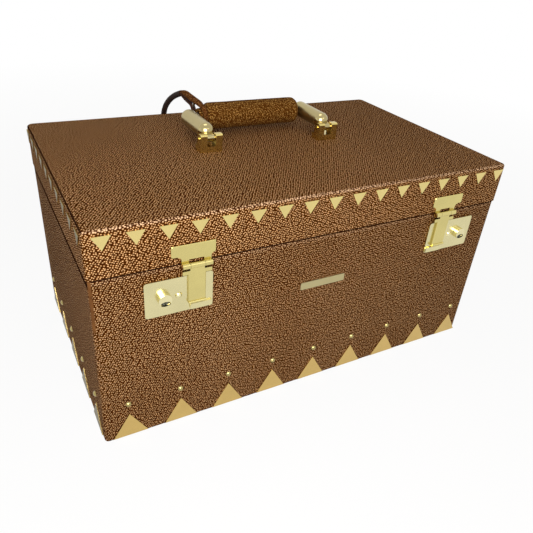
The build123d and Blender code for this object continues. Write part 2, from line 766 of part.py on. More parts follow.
def lid_covering():
    outer = block((-lid_x, lid_x), (-lid_y, lid_y), (lid_bottom, lid_top))
    edges = upright_edges(outer).sort_by(Axis.Y)
    outer = fillet(edges[:2], CORNER_RADIUS)
    edges = upright_edges(outer).sort_by(Axis.Y)
    outer = fillet(edges[-2:], LID_BACK_CORNER_RADIUS)
    outer = fillet(outer.faces().sort_by(Axis.Z)[-1].edges(), LID_TOP_RADIUS)
    covering = outer - lid_core()
    for hole in mount_bolt_holes()[0]:
        covering -= hole
    return covering


def lid_boards():
    top = block((-lid_core_x, lid_core_x), (-lid_core_y, lid_core_y), (ceiling, lid_core_top)) & lid_core()
    holes, heads = mount_bolt_holes()
    for cut in holes + heads:
        top -= cut
    z = (lid_bottom, ceiling)
    front_rail = block((-lid_core_x, lid_core_x), (-lid_core_y, -lid_inner_y), z) & lid_core()
    back_rail = block((-lid_core_x, lid_core_x), (lid_inner_y, lid_core_y), z) & lid_core()
    left_rail = block((-lid_core_x, -lid_inner_x), (-lid_inner_y, lid_inner_y), z)
    right_rail = block((lid_inner_x, lid_core_x), (-lid_inner_y, lid_inner_y), z)
    return group([top, front_rail, back_rail, left_rail, right_rail])


def lid_lining():
    """Cloth-covered card: the ceiling and four strips that end above the case's lining boards."""
    z = (CASE_HEIGHT + LINING_RISE + LID_LINING_CLEARANCE, ceiling - LID_LINING)
    face_x = lid_inner_x - LID_LINING
    face_y = lid_inner_y - LID_LINING
    return group([
        block((-lid_inner_x, lid_inner_x), (-lid_inner_y, lid_inner_y), (ceiling - LID_LINING, ceiling)),
        block((-lid_inner_x, lid_inner_x), (-lid_inner_y, -face_y), z),
        block((-lid_inner_x, lid_inner_x), (face_y, lid_inner_y), z),
        block((-lid_inner_x, -face_x), (-face_y, face_y), z),
        block((face_x, lid_inner_x), (-face_y, face_y), z),
    ])


def mirror_glass():
    top = ceiling - LID_LINING
    x = mirror_x
    y = mirror_y
    return block((-x, x), (-y, y), (top - MIRROR_THICKNESS, top))


def mirror_frame():
    """Four mouldings that hold the glass against the lid."""
    top = ceiling - LID_LINING
    bottom = top - MIRROR_THICKNESS - MIRROR_LIP_THICKNESS
    seat_x = mirror_x + MIRROR_CLEARANCE
    seat_y = mirror_y + MIRROR_CLEARANCE
    outer_x = seat_x + MIRROR_FRAME_RIM
    outer_y = seat_y + MIRROR_FRAME_RIM
    lip_x = mirror_x - MIRROR_LIP
    lip_y = mirror_y - MIRROR_LIP
    seat = block((-seat_x, seat_x), (-seat_y, seat_y), (top - MIRROR_THICKNESS, top))
    z = (bottom, top)
    return group([
        block((-outer_x, outer_x), (-outer_y, -lip_y), z) - seat,
        block((-outer_x, outer_x), (lip_y, outer_y), z) - seat,
        block((-outer_x, -lip_x), (-lip_y, lip_y), z) - seat,
        block((lip_x, outer_x), (-lip_y, lip_y), z) - seat,
    ])


# Handle

def handle_mount():
    """A clevis with two ears, which stands on the lid."""
    half = MOUNT_WIDTH / 2
    base = block((-half, half), (MOUNT_FRONT, MOUNT_BACK), (lid_top, lid_top + MOUNT_FLOOR))
    ears = block((-half, half), (MOUNT_FRONT, EAR_BACK), (lid_top, handle_pin_z + EAR_RISE))
    top_edges = ears.edges().filter_by(Axis.X).group_by(Axis.Z)[-1].sort_by(Axis.Y)
    ears = fillet(top_edges[-1], EAR_BACK_ROUND)
    top_edges = ears.edges().filter_by(Axis.X).group_by(Axis.Z)[-1].sort_by(Axis.Y)
    ears = fillet(top_edges[0], EAR_FRONT_ROUND)
    mount = base + ears
    slot = block(
        (-MOUNT_SLOT / 2, MOUNT_SLOT / 2),
        (MOUNT_FRONT - 1, MOUNT_BACK + 1),
        (lid_top + MOUNT_FLOOR, handle_pin_z + 10),
    )
    mount -= slot
    pin_start = (-half - 1, HANDLE_PIN_Y, handle_pin_z)
    mount -= rod(HANDLE_PIN_RADIUS, pin_start, (half + 1, HANDLE_PIN_Y, handle_pin_z))
    for x in row(2, MOUNT_BOLT_SPACING):
        mount -= rod(MOUNT_BOLT_RADIUS, (x, 0, lid_top - 1), (x, 0, lid_top + MOUNT_BOLT_GRIP))
    return mount


def handle_pin():
    half = MOUNT_WIDTH / 2 + HANDLE_PIN_STAND
    return rod(HANDLE_PIN_RADIUS, (-half, HANDLE_PIN_Y, handle_pin_z), (half, HANDLE_PIN_Y, handle_pin_z))


def mount_bolts():
    bolts = []
    for x in mount_bolt_places():
        shank = rod(MOUNT_BOLT_RADIUS, (x, 0, ceiling), (x, 0, lid_top + MOUNT_BOLT_GRIP))
        head = rod(MOUNT_BOLT_HEAD_RADIUS, (x, 0, ceiling), (x, 0, ceiling + MOUNT_BOLT_HEAD))
        bolts.append(shank + head)
    return group(bolts)


def core_end():
    """How far the grip's core reaches from the handle's middle, into each arm."""
    return ARM_SPACING / 2 - ARM_RADIUS + CORE_GRIP_IN_ARM


def handle_arm(side):
    """A round bar with domed ends and a tongue that the pin passes through."""
    start = (0, ARM_START, grip_z)
    end = (0, GRIP_Y, grip_z)
    bar = rod(ARM_RADIUS, start, end) + Pos(*start) * Sphere(ARM_RADIUS) + Pos(*end) * Sphere(ARM_RADIUS)
    half = MOUNT_SLOT / 2 - TONGUE_CLEARANCE
    eye = rod(EYE_RADIUS, (-half, HANDLE_PIN_Y, handle_pin_z), (half, HANDLE_PIN_Y, handle_pin_z))
    tongue = block((-half, half), (HANDLE_PIN_Y, ARM_START), (handle_pin_z - EYE_RADIUS, grip_z))
    ramp = block((-half, half), (HANDLE_PIN_Y - EYE_RADIUS, HANDLE_PIN_Y + 1.0), (handle_pin_z, grip_z + 1))
    arm = bar + (tongue - ramp) + eye
    hole = HANDLE_PIN_RADIUS + PIN_CLEARANCE
    arm -= rod(hole, (-half - 1, HANDLE_PIN_Y, handle_pin_z), (half + 1, HANDLE_PIN_Y, handle_pin_z))
    mount_x = HANDLE_SHIFT + side * ARM_SPACING / 2
    arm = Pos(mount_x, 0, 0) * arm
    socket_start = (HANDLE_SHIFT + side * core_end(), GRIP_Y, grip_z)
    return arm - rod(CORE_RADIUS, socket_start, (HANDLE_SHIFT, GRIP_Y, grip_z))


def handle_core():
    return rod(
        CORE_RADIUS,
        (HANDLE_SHIFT - core_end(), GRIP_Y, grip_z),
        (HANDLE_SHIFT + core_end(), GRIP_Y, grip_z),
    )


def grip_limits():
    half = ARM_SPACING / 2 - ARM_RADIUS - GRIP_SIDE_CLEARANCE
    return HANDLE_SHIFT - half, HANDLE_SHIFT + half


def handle_grip():
    """The padded leather grip, with a narrow neck on the left for the loop."""
    left, right = grip_limits()
    body = rod(GRIP_RADIUS, (left + NECK_LENGTH, GRIP_Y, grip_z), (right, GRIP_Y, grip_z))
    body = fillet(body.edges().filter_by(GeomType.CIRCLE), GRIP_END_RADIUS)
    neck = rod(NECK_RADIUS, (left, GRIP_Y, grip_z), (left + NECK_LENGTH + 2, GRIP_Y, grip_z))
    bore = rod(CORE_RADIUS, (left - 1, GRIP_Y, grip_z), (right + 1, GRIP_Y, grip_z))
    return body + neck - bore


# Leather loop and thong

def loop_frame():
    """The loop's own plane: local X runs to the back, local Y up, and it leans a little to the left."""
    x = grip_limits()[0] + NECK_LENGTH / 2
    lean = math.radians(LOOP_TILT)
    back_dir = (-math.sin(lean), math.cos(lean), 0)
    side_dir = (math.cos(lean), math.sin(lean), 0)
    return Plane((x, GRIP_Y, lid_top), x_dir=back_dir, z_dir=side_dir)


def loop_outline(neck, tip):
    circle_neck = Pos(0, grip_rise) * Circle(neck)
    circle_tip = Pos(LOOP_TIP_Y - GRIP_Y, LOOP_TIP_RISE) * Circle(tip)
    return make_hull(circle_neck.edges() + circle_tip.edges())


def strap_loop():
    """A band round the neck whose two layers close to a tip at the back."""
    inner = NECK_RADIUS + LOOP_CLEARANCE
    outer = loop_outline(inner + LOOP_THICKNESS, LOOP_TIP_RADIUS)
    hole = loop_outline(inner, LOOP_TIP_RADIUS - LOOP_THICKNESS)
    band = extrude(outer - hole, LOOP_WIDTH / 2, both=True)
    tip = Pos(LOOP_TIP_Y - GRIP_Y, LOOP_TIP_RISE, 0) * Rot(0, 0, -LOOP_TIP_DROP)
    band -= tip * Pos(LOOP_TIP_FLAT + 10, 0, 0) * Box(20, 30, 20)
    return loop_frame() * band - loop_rivet()


def loop_rivet():
    """The small metal rivet that pinches the loop's two layers behind the neck."""
    x = LOOP_RIVET_Y - GRIP_Y
    slope = math.degrees(math.atan2(LOOP_TIP_RISE - grip_rise, LOOP_TIP_Y - GRIP_Y))
    middle = grip_rise + x * math.tan(math.radians(slope))
    shank = Rot(90, 0, 0) * Cylinder(LOOP_RIVET_RADIUS, 15.0)
    return loop_frame() * (Pos(x, middle, 0) * Rot(0, 0, slope) * shank)


def thong():
    """The leather thong: straight runs joined by tangent arcs, each as large as its two runs allow."""
    drop = math.radians(LOOP_TIP_DROP)
    direction = Vector(math.cos(drop), -math.sin(drop), 0)
    start_local = Vector(LOOP_TIP_Y - GRIP_Y, LOOP_TIP_RISE, 0) + direction * LOOP_TIP_FLAT
    lead_local = start_local + direction * THONG_LEAD
    points = [loop_frame().from_local_coords(start_local), loop_frame().from_local_coords(lead_local)]
    points += [Vector(x, y, lid_top + rise) for x, y, rise in THONG_POINTS]
    runs = [b - a for a, b in zip(points, points[1:])]
    radii = []
    for before, after in zip(runs, runs[1:]):
        half_turn = math.radians(before.get_angle(after)) / 2
        shorter = min(before.length, after.length)
        radii.append(0.45 * shorter / math.tan(half_turn))
    print("thong radii", [round(radius, 1) for radius in radii])
    path = FilletPolyline(*points, radius=radii)
    section = Plane(origin=path @ 0, z_dir=path % 0) * Circle(THONG_DIAMETER / 2)
    tube = sweep(section, path=path)
    expected = math.pi * (THONG_DIAMETER / 2) ** 2 * path.length
    print("thong length", round(path.length, 1), "volume share", round(tube.volume / expected, 4))
    return tube


# Tray

def tray_walls():
    z = (tray_floor_top, tray_top)
    inner_tray_x = tray_x - TRAY_BOARD
    inner_tray_y = tray_y - TRAY_BOARD
    return group([
        block((-tray_x, tray_x), (-tray_y, -inner_tray_y), z),
        block((-tray_x, tray_x), (inner_tray_y, tray_y), z),
        block((-tray_x, -inner_tray_x), (-inner_tray_y, inner_tray_y), z),
        block((inner_tray_x, tray_x), (-inner_tray_y, inner_tray_y), z),
    ])


def tray_floor():
    return block((-tray_x, tray_x), (-tray_y, tray_y), (tray_bottom + TRAY_SEAT_GAP, tray_floor_top))


def tray_bays():
    """Limits along X of the tray's three bays."""
    inner = tray_x - TRAY_BOARD
    left = (-inner, -inner + RING_BAY_LENGTH)
    right = (inner - RIGHT_BAY_LENGTH, inner)
    middle = (left[1] + TRAY_DIVIDER, right[0] - TRAY_DIVIDER)
    return left, middle, right


def tray_dividers():
    left, middle, right = tray_bays()
    inner = tray_y - TRAY_BOARD
    z = (tray_floor_top, tray_floor_top + TRAY_DIVIDER_HEIGHT)
    half = TRAY_DIVIDER / 2
    return group([
        block((left[1], middle[0]), (-inner, inner), z),
        block((middle[1], right[0]), (-inner, inner), z),
        block((right[0], right[1] - PULL_THICKNESS - SOFT_GAP), (-half, half), z),
    ])


def tray_pads():
    _, middle, right = tray_bays()
    inner = tray_y - TRAY_BOARD - SOFT_GAP
    z = (tray_floor_top, tray_floor_top + TRAY_PAD)
    half = TRAY_DIVIDER / 2 + SOFT_GAP
    return group([
        block(shrink(middle, SOFT_GAP), (-inner, inner), z),
        block(shrink(right, SOFT_GAP), (-inner, -half), z),
        block(shrink(right, SOFT_GAP), (half, inner), z),
    ])


def ring_rolls():
    """A row of round pads that hold rings between them."""
    left, _, _ = tray_bays()
    pitch = (left[1] - left[0]) / RING_ROLL_COUNT
    radius = pitch / 2 - RING_ROLL_GAP / 2
    inner = tray_y - TRAY_BOARD - SOFT_GAP
    z = tray_floor_top + SOFT_GAP + radius
    middle = (left[0] + left[1]) / 2
    rolls = []
    for x in row(RING_ROLL_COUNT, pitch, middle):
        roll = rod(radius, (x, -inner, z), (x, inner, z))
        rolls.append(fillet(roll.edges().filter_by(GeomType.CIRCLE), 0.4 * radius))
    return group(rolls)


def tray_pulls():
    """Ribbon tabs to lift the tray by, glued inside its end walls."""
    inner = tray_x - TRAY_BOARD
    z = (tray_top - PULL_DROP, tray_top + PULL_RISE)
    y = (-PULL_WIDTH / 2, PULL_WIDTH / 2)
    left_top = tray_bays()[0][0]
    return group([
        block((left_top, left_top + PULL_THICKNESS), y, z),
        block((inner - PULL_THICKNESS, inner), y, z),
    ])


# Write every node

case_planes = wall_planes(CASE_LENGTH / 2, CASE_DEPTH / 2)
lid_planes = wall_planes(lid_x, lid_y)
foot_front = (fitting_count(CASE_LENGTH, FOOT_TRIANGLE_WIDTH, FOOT_FRONT_PITCH), FOOT_FRONT_PITCH)
foot_side = (fitting_count(CASE_DEPTH, FOOT_TRIANGLE_WIDTH, FOOT_SIDE_PITCH), FOOT_SIDE_PITCH)
lid_front = (fitting_count(2 * lid_x, LID_TRIANGLE_WIDTH, LID_FRONT_PITCH), LID_FRONT_PITCH)
lid_side = (fitting_count(2 * lid_y, LID_TRIANGLE_WIDTH, LID_SIDE_PITCH), LID_SIDE_PITCH)

save("case_covering", case_covering())
save("case_boards", case_boards())
save("base_board", block((-inner_x, inner_x), (-inner_y, inner_y), (BASE_SHEET, base_top)))
save("base_sheet", base_sheet())
save("case_lining", case_lining())
save("well_pad", block((-well_x, well_x), (-well_y, well_y), (base_top, base_top + WELL_PAD)))
save("well_dividers", well_dividers())
save("tray_ledges", tray_ledges())
save("seam_strip", seam_strip())
save("nameplate", nameplate())

save("foot_triangles_front", group(foot_trim(case_planes, "front", *foot_front, TRIM_SHIFT)))
save("foot_triangles_back", group(foot_trim(case_planes, "back", *foot_front, 0)))
save("foot_triangles_left", group(foot_trim(case_planes, "left", *foot_side, 0)))
save("foot_triangles_right", group(foot_trim(case_planes, "right", *foot_side, 0)))
all_studs = studs(case_planes, "front", *foot_front, TRIM_SHIFT) + studs(case_planes, "back", *foot_front, 0)
all_studs += studs(case_planes, "left", *foot_side, 0) + studs(case_planes, "right", *foot_side, 0)
save("studs", group(all_studs))

save("lid_covering", lid_covering())
save("lid_boards", lid_boards())
save("lid_lining", lid_lining())
save("mirror_glass", mirror_glass())
save("mirror_frame", mirror_frame())
save("lid_triangles_front", group(lid_trim(lid_planes, "front", *lid_front, LID_TRIANGLE_SHIFT)))
save("lid_triangles_back", group(lid_trim(lid_planes, "back", *lid_front, 0)))
save("lid_triangles_left", group(lid_trim(lid_planes, "left", *lid_side, 0)))
save("lid_triangles_right", group(lid_trim(lid_planes, "right", *lid_side, 0)))

save("rear_case_leaves", for_both_hinges(rear_case_leaf()))
save("rear_lid_leaves", for_both_hinges(rear_lid_leaf()))
save("rear_pins", for_both_hinges(rear_pin()))

lock_pieces = {
    "lock_plate": lock_plate,
    "lock_case": lock_case,
    "lock_knob": lock_knob,
    "key_plug": key_plug,
    "hasp_mount": hasp_mount,
    "hasp": hasp,
}
for name, build in lock_pieces.items():
    left_piece, right_piece = for_both_locks(build)
    save(f"{name}_left", left_piece)
    save(f"{name}_right", right_piece)
save("lock_pegs", group(for_both_locks(lock_peg)))
save("lock_detents", group(for_both_locks(lock_detent)))
save("hasp_pins", group(for_both_locks(hasp_pin)))

mount_places = row(2, ARM_SPACING, HANDLE_SHIFT)
save("handle_mount_left", Pos(mount_places[0], 0, 0) * handle_mount())
save("handle_mount_right", Pos(mount_places[1], 0, 0) * handle_mount())
save("handle_pins", group([Pos(x, 0, 0) * handle_pin() for x in mount_places]))
save("mount_bolts", mount_bolts())
save("handle_arm_left", handle_arm(-1))
save("handle_arm_right", handle_arm(1))
save("handle_core", handle_core())
save("handle_grip", handle_grip())

save("strap_loop", strap_loop())
save("loop_rivet", loop_rivet())
save("strap_thong", thong())

save("tray_walls", tray_walls())
save("tray_floor", tray_floor())
save("tray_dividers", tray_dividers())
save("tray_pads", tray_pads())
save("ring_rolls", ring_rolls())
save("tray_pulls", tray_pulls())
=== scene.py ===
import bmesh
import bpy
import json
import math
from mathutils import Matrix, Vector, noise


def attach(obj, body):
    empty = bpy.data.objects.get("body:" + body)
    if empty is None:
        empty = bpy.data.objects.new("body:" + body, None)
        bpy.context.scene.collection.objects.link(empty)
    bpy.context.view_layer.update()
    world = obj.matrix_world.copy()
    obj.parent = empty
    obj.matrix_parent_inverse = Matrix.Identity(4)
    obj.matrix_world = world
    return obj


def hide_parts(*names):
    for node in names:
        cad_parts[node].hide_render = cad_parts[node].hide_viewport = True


# Jewellery trunk in pebbled bronze leather with polished brass fittings. Metres, in the model's own frame.

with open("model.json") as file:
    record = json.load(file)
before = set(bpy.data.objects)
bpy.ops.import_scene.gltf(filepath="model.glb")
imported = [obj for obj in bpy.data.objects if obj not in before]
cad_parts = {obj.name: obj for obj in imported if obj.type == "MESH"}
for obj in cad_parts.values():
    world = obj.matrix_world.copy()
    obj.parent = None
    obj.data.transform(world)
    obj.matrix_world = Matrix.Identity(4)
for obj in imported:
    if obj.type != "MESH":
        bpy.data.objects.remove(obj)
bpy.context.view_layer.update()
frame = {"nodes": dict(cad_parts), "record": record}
nodes = frame["nodes"]
MM = 0.001

# Sizes repeated from the model, in millimetres, and the loop's tilt in degrees
CASE_X = 179.5
CASE_TOP = 145.5
LID_X = 180.3
LID_Y = 105.8
LID_BOTTOM = 146.4
LID_TOP = 181.0
GRIP_LEFT = -46.9
GRIP_RIGHT = 51.5
GRIP_Y = 44.0
GRIP_Z = 195.0
GRIP_RADIUS = 11.8
NECK_RADIUS = 7.4
NECK_LENGTH = 6.7
CORE_RADIUS = 4.0
LOOP_TILT = 8.0
LOOP_TIP_REACH = 34.0
LOOP_TIP_RISE = 26.0
GRIP_RISE = 14.0
THONG_DIAMETER = 5.3
LOCK_SHIFT = 4.7
KNOB_OUT = 136.1
KNOB_UP = 122.4
KNOB_FRONT = 111.1


# Camera

CAMERA_PLACE = Vector((-226.35, -397.95, 338.68)) * MM
CAMERA_RIGHT = Vector((0.87939, -0.47036, 0.07378))
CAMERA_UP = Vector((0.19287, 0.49361, 0.84803))
CAMERA_FORWARD = Vector((0.43529, 0.73151, -0.52479))
CAMERA_LENS = 36.8


def make_camera():
    """A camera at the photograph's point of view."""
    data = bpy.data.cameras.new("camera")
    data.lens = CAMERA_LENS
    data.sensor_width = 36.0
    data.clip_start = 0.01
    camera = bpy.data.objects.new("camera", data)
    turn = Matrix((CAMERA_RIGHT, CAMERA_UP, -CAMERA_FORWARD)).transposed().to_4x4()
    camera.matrix_world = Matrix.Translation(CAMERA_PLACE) @ turn
    bpy.context.scene.collection.objects.link(camera)
    bpy.context.scene.camera = camera


make_camera()


# Mesh and material helpers

def add_object(name, data):
    piece = bpy.data.objects.new(name, data)
    bpy.context.scene.collection.objects.link(piece)
    return piece


def mesh_object(name, points, faces, smooth=True):
    """A mesh from points in millimetres."""
    mesh = bpy.data.meshes.new(name)
    mesh.from_pydata([Vector(point) * MM for point in points], [], faces)
    mesh.update()
    for face in mesh.polygons:
        face.use_smooth = smooth
    work = bmesh.new()
    work.from_mesh(mesh)
    bmesh.ops.recalc_face_normals(work, faces=work.faces)
    work.to_mesh(mesh)
    work.free()
    return add_object(name, mesh)


def add(tree, kind, inputs=None, **settings):
    """A shader node with its settings, and values or links for its inputs."""
    node = tree.nodes.new(kind)
    for key, value in settings.items():
        setattr(node, key, value)
    for key, value in (inputs or {}).items():
        if isinstance(value, bpy.types.NodeSocket):
            tree.links.new(value, node.inputs[key])
        else:
            node.inputs[key].default_value = value
    return node


def new_material(name):
    """An empty material: its node tree, its shader and where its pieces' own coordinates come from."""
    material = bpy.data.materials.new(name)
    material.use_nodes = True
    tree = material.node_tree
    shader = tree.nodes["Principled BSDF"]
    place = add(tree, "ShaderNodeTexCoord").outputs["Object"]
    return material, tree, shader, place


def ramp(tree, factor, stops):
    """Colours or values along a factor from 0 to 1."""
    node = add(tree, "ShaderNodeValToRGB", {"Fac": factor})
    elements = node.color_ramp.elements
    while len(elements) < len(stops):
        elements.new(0.5)
    for element, (position, colour) in zip(elements, stops):
        element.position = position
        if isinstance(colour, (int, float)):
            colour = (colour, colour, colour)
        element.color = (*colour, 1.0)
    return node.outputs["Color"]


def math_node(tree, operation, first, second=0.5, clamp=False):
    node = add(tree, "ShaderNodeMath", {0: first, 1: second}, operation=operation, use_clamp=clamp)
    return node.outputs[0]


def mix_colour(tree, factor, first, second, blend="MIX"):
    node = add(tree, "ShaderNodeMix", {0: factor}, data_type="RGBA", blend_type=blend)
    for key, value in ((6, first), (7, second)):
        if isinstance(value, bpy.types.NodeSocket):
            tree.links.new(value, node.inputs[key])
        else:
            node.inputs[key].default_value = (*value, 1.0)
    return node.outputs[2]


def noise_value(tree, place, scale, detail=2.0, roughness=0.5):
    inputs = {"Vector": place, "Scale": scale, "Detail": detail, "Roughness": roughness}
    return add(tree, "ShaderNodeTexNoise", inputs).outputs["Fac"]


def bump(tree, height, distance, strength=1.0, normal=None):
    inputs = {"Height": height, "Distance": distance, "Strength": strength}
    if normal is not None:
        inputs["Normal"] = normal
    return add(tree, "ShaderNodeBump", inputs).outputs["Normal"]


# Leather: the pebbles' rows are laid out in grains, and a pebble's height goes from 0 to 1

SIDE_FACING = 0.7
TOP_LAYER = 0.37
WANDER_SCALE = 0.22
WANDER_REACH = 1.15
ROW_TURN = (0.0, 0.0, 0.5)
ROW_STRETCH = (0.9, 1.08, 1.0)
ROW_LOOSENESS = 0.52
PEBBLE_SHAPE = ((0.03, 1.0), (0.26, 0.56), (0.48, 0.0))
PEBBLE_TONES = ((0.0, 0.82), (1.0, 1.12))
PATCH_TONES = ((0.35, (0.94, 0.90, 0.84)), (0.65, 1.06))
SLOPE_HEIGHT = 0.52
VALLEY_ROUGHNESS = 0.67
PEAK_ROUGHNESS = 0.42
LEATHER_SHINE = 0.17
EDGE_FADE = 0.5


def unrolled(tree):
    """The place on the nearest flat side of the trunk, along that side's own two directions."""
    coordinates = add(tree, "ShaderNodeTexCoord")
    spot = add(tree, "ShaderNodeSeparateXYZ", {0: coordinates.outputs["Object"]})
    facing = add(tree, "ShaderNodeVectorMath", {0: coordinates.outputs["Normal"]}, operation="ABSOLUTE")
    sides = add(tree, "ShaderNodeSeparateXYZ", {0: facing.outputs[0]})
    on_end = math_node(tree, "GREATER_THAN", sides.outputs["X"], SIDE_FACING)
    on_top = math_node(tree, "GREATER_THAN", sides.outputs["Z"], SIDE_FACING)
    across = add(tree, "ShaderNodeMix", {0: on_end, 2: spot.outputs["X"], 3: spot.outputs["Y"]}).outputs[0]
    upward = add(tree, "ShaderNodeMix", {0: on_top, 2: spot.outputs["Z"], 3: spot.outputs["Y"]}).outputs[0]
    layer = math_node(tree, "MULTIPLY_ADD", on_top, TOP_LAYER)
    tree.links.new(on_end, layer.node.inputs[2])
    return add(tree, "ShaderNodeCombineXYZ", {0: across, 1: upward, 2: layer}).outputs[0]


def pebbles(tree, place, grain, warp, dimensions):
    """Rounded pebbles in loose rows: their height from 0 to 1 and a number for each."""
    wander = add(tree, "ShaderNodeTexNoise", {"Vector": place, "Scale": WANDER_SCALE / grain, "Detail": 2.0})
    less_half = {0: wander.outputs["Color"], 1: (0.5, 0.5, 0.5)}
    centred = add(tree, "ShaderNodeVectorMath", less_half, operation="SUBTRACT").outputs[0]
    shift = add(tree, "ShaderNodeVectorMath", {0: centred, "Scale": warp}, operation="SCALE").outputs[0]
    moved = add(tree, "ShaderNodeVectorMath", {0: place, 1: shift}, operation="ADD").outputs[0]
    rows = {"Vector": moved, "Rotation": ROW_TURN, "Scale": ROW_STRETCH}
    turned = add(tree, "ShaderNodeMapping", rows).outputs[0]
    cell = {"Vector": turned, "Scale": 1.0 / grain, "Randomness": ROW_LOOSENESS}
    body = add(tree, "ShaderNodeTexVoronoi", cell, feature="F1", voronoi_dimensions=dimensions)
    height = ramp(tree, body.outputs["Distance"], PEBBLE_SHAPE)
    number = add(tree, "ShaderNodeSeparateColor", {0: body.outputs["Color"]}).outputs[0]
    return height, number


def between(tree, value, low, high, soft):
    """1 where a value lies from low to high, fading over a soft distance on each side."""
    middle = (low + high) / 2
    distance = math_node(tree, "ABSOLUTE", math_node(tree, "SUBTRACT", value, middle))
    over = math_node(tree, "SUBTRACT", distance, (high - low) / 2)
    return math_node(tree, "SUBTRACT", 1.0, math_node(tree, "DIVIDE", over, soft, clamp=True), clamp=True)


def edge_wear_and_painted_light(tree, colour, place, height, bands):
    """Bands along edges: limits in millimetres for |x|, y and z, a colour, a strength and how it's laid on.

    A band laid on the pebbles' tops shows there alone: painted highlight, partly rubbed wear. Any other band
    covers everything and is matt: painted shade at the lid's seam, and dark lines along other edges.
    The second value is 1 where such a covering band lies.
    """
    dark_cover = 0.0
    parts = add(tree, "ShaderNodeSeparateXYZ", {0: place})
    across = math_node(tree, "ABSOLUTE", parts.outputs["X"])
    values = (across, parts.outputs["Y"], parts.outputs["Z"])
    for limits, tint, strength, laid_on in bands:
        mask = strength
        for value, limit in zip(values, limits):
            if limit is not None:
                within = between(tree, value, limit[0] * MM, limit[1] * MM, EDGE_FADE * MM)
                mask = math_node(tree, "MULTIPLY", within, mask)
        if laid_on == "RUB":
            mask = math_node(tree, "MULTIPLY", mask, height)
        else:
            dark_cover = math_node(tree, "MAXIMUM", mask, dark_cover)
        colour = mix_colour(tree, mask, colour, tint)
    return colour, dark_cover


def pebbled_leather(name, grain, tones, depth, flat_sides=True, bands=()):
    """Metallic bronze leather, dark between the pebbles and light on their tops: the leather's own two tones,
    with painted shade in the hollows and painted highlight on the tops.

    Grain is the pebbles' size and depth their height in millimetres. Tones are the colours between the
    pebbles, on their slopes and on their tops.
    """
    material, tree, shader, place = new_material(name)
    spread = unrolled(tree) if flat_sides else place
    warp = WANDER_REACH * grain * MM
    height, number = pebbles(tree, spread, grain * MM, warp, "2D" if flat_sides else "3D")
    valley, slope, peak = tones
    # Painted shade between the pebbles and painted highlight on their tops, over the leather's own tones.
    colour = ramp(tree, height, [(0.0, valley), (SLOPE_HEIGHT, slope), (1.0, peak)])
    colour = mix_colour(tree, 1.0, colour, ramp(tree, number, PEBBLE_TONES), "MULTIPLY")
    patch = noise_value(tree, place, 9.0, 4.0)
    colour = mix_colour(tree, 1.0, colour, ramp(tree, patch, PATCH_TONES), "MULTIPLY")
    colour, dark_cover = edge_wear_and_painted_light(tree, colour, place, height, bands)
    tree.links.new(colour, shader.inputs["Base Color"])
    rough = ramp(tree, height, [(0.0, VALLEY_ROUGHNESS), (1.0, PEAK_ROUGHNESS)])
    tree.links.new(rough, shader.inputs["Roughness"])
    shader.inputs["Metallic"].default_value = LEATHER_SHINE
    # The dark bands lose the sheen, so that the painted shade under the lid stays dark.
    if bands:
        bare = math_node(tree, "SUBTRACT", 1.0, dark_cover)
        tree.links.new(math_node(tree, "MULTIPLY", bare, LEATHER_SHINE), shader.inputs["Metallic"])
    shader.inputs["Specular IOR Level"].default_value = 0.0
    fine = noise_value(tree, place, 2600.0)
    coarse = bump(tree, height, depth * MM)
    tree.links.new(bump(tree, fine, 0.02 * MM, 0.4, coarse), shader.inputs["Normal"])
    return material


def smooth_leather(name, dark, light, roughness=0.5):
    """Plain leather, handled dark and light in patches, with fine pores."""
    material, tree, shader, place = new_material(name)
    wear = noise_value(tree, place, 160.0, 4.0, 0.6)
    tree.links.new(ramp(tree, wear, [(0.3, dark), (0.7, light)]), shader.inputs["Base Color"])
    shader.inputs["Roughness"].default_value = roughness
    shader.inputs["Specular IOR Level"].default_value = 0.08
    pores = noise_value(tree, place, 1500.0)
    tree.links.new(bump(tree, pores, 0.06 * MM, 0.6), shader.inputs["Normal"])
    return material


# Brass and steel

BUFFED = (0.13, 0.13, 0.13)
# Painted shade for the inside of the key's pocket on each knob.
POCKET_SHADE = (0.03, 0.028, 0.018)
POCKET_REACH = 4.3
POCKET_TOP = 0.1


def metal(name, colour, roughness, brush=0.02, smudge=0.06, warp=0.12, polished=None, rim=1.0):
    """Polished or satin metal with fine brushing, faint smudges and faces that aren't quite flat.

    Brush and warp are the depths in millimetres of the brushing and of the faces' waves. Smudge is how much
    rougher the smudges are. Polished is an axis and limits in millimetres, between which the metal is buffed
    bright. Rim is how strongly the metal still reflects when it is seen edge on.
    """
    material, tree, shader, place = new_material(name)
    shader.inputs["Metallic"].default_value = 1.0
    shader.inputs["Specular Tint"].default_value = (rim, rim, rim, 1.0)
    tone = noise_value(tree, place, 90.0, 3.0)
    dark = tuple(0.93 * channel for channel in colour)
    tree.links.new(ramp(tree, tone, [(0.3, dark), (0.7, colour)]), shader.inputs["Base Color"])
    marks = noise_value(tree, place, 240.0, 4.0, 0.6)
    rough = ramp(tree, marks, [(0.35, roughness), (0.75, roughness + smudge)])
    if polished:
        axis, low, high = polished
        value = add(tree, "ShaderNodeSeparateXYZ", {0: place}).outputs[axis]
        rough = mix_colour(tree, between(tree, value, low * MM, high * MM, 0.3 * MM), rough, BUFFED)
    tree.links.new(rough, shader.inputs["Roughness"])
    lines = noise_value(tree, place, 900.0, 3.0)
    waves = bump(tree, noise_value(tree, place, 38.0, 1.0), warp * MM)
    tree.links.new(bump(tree, lines, brush * MM, 0.4, waves), shader.inputs["Normal"])
    return material


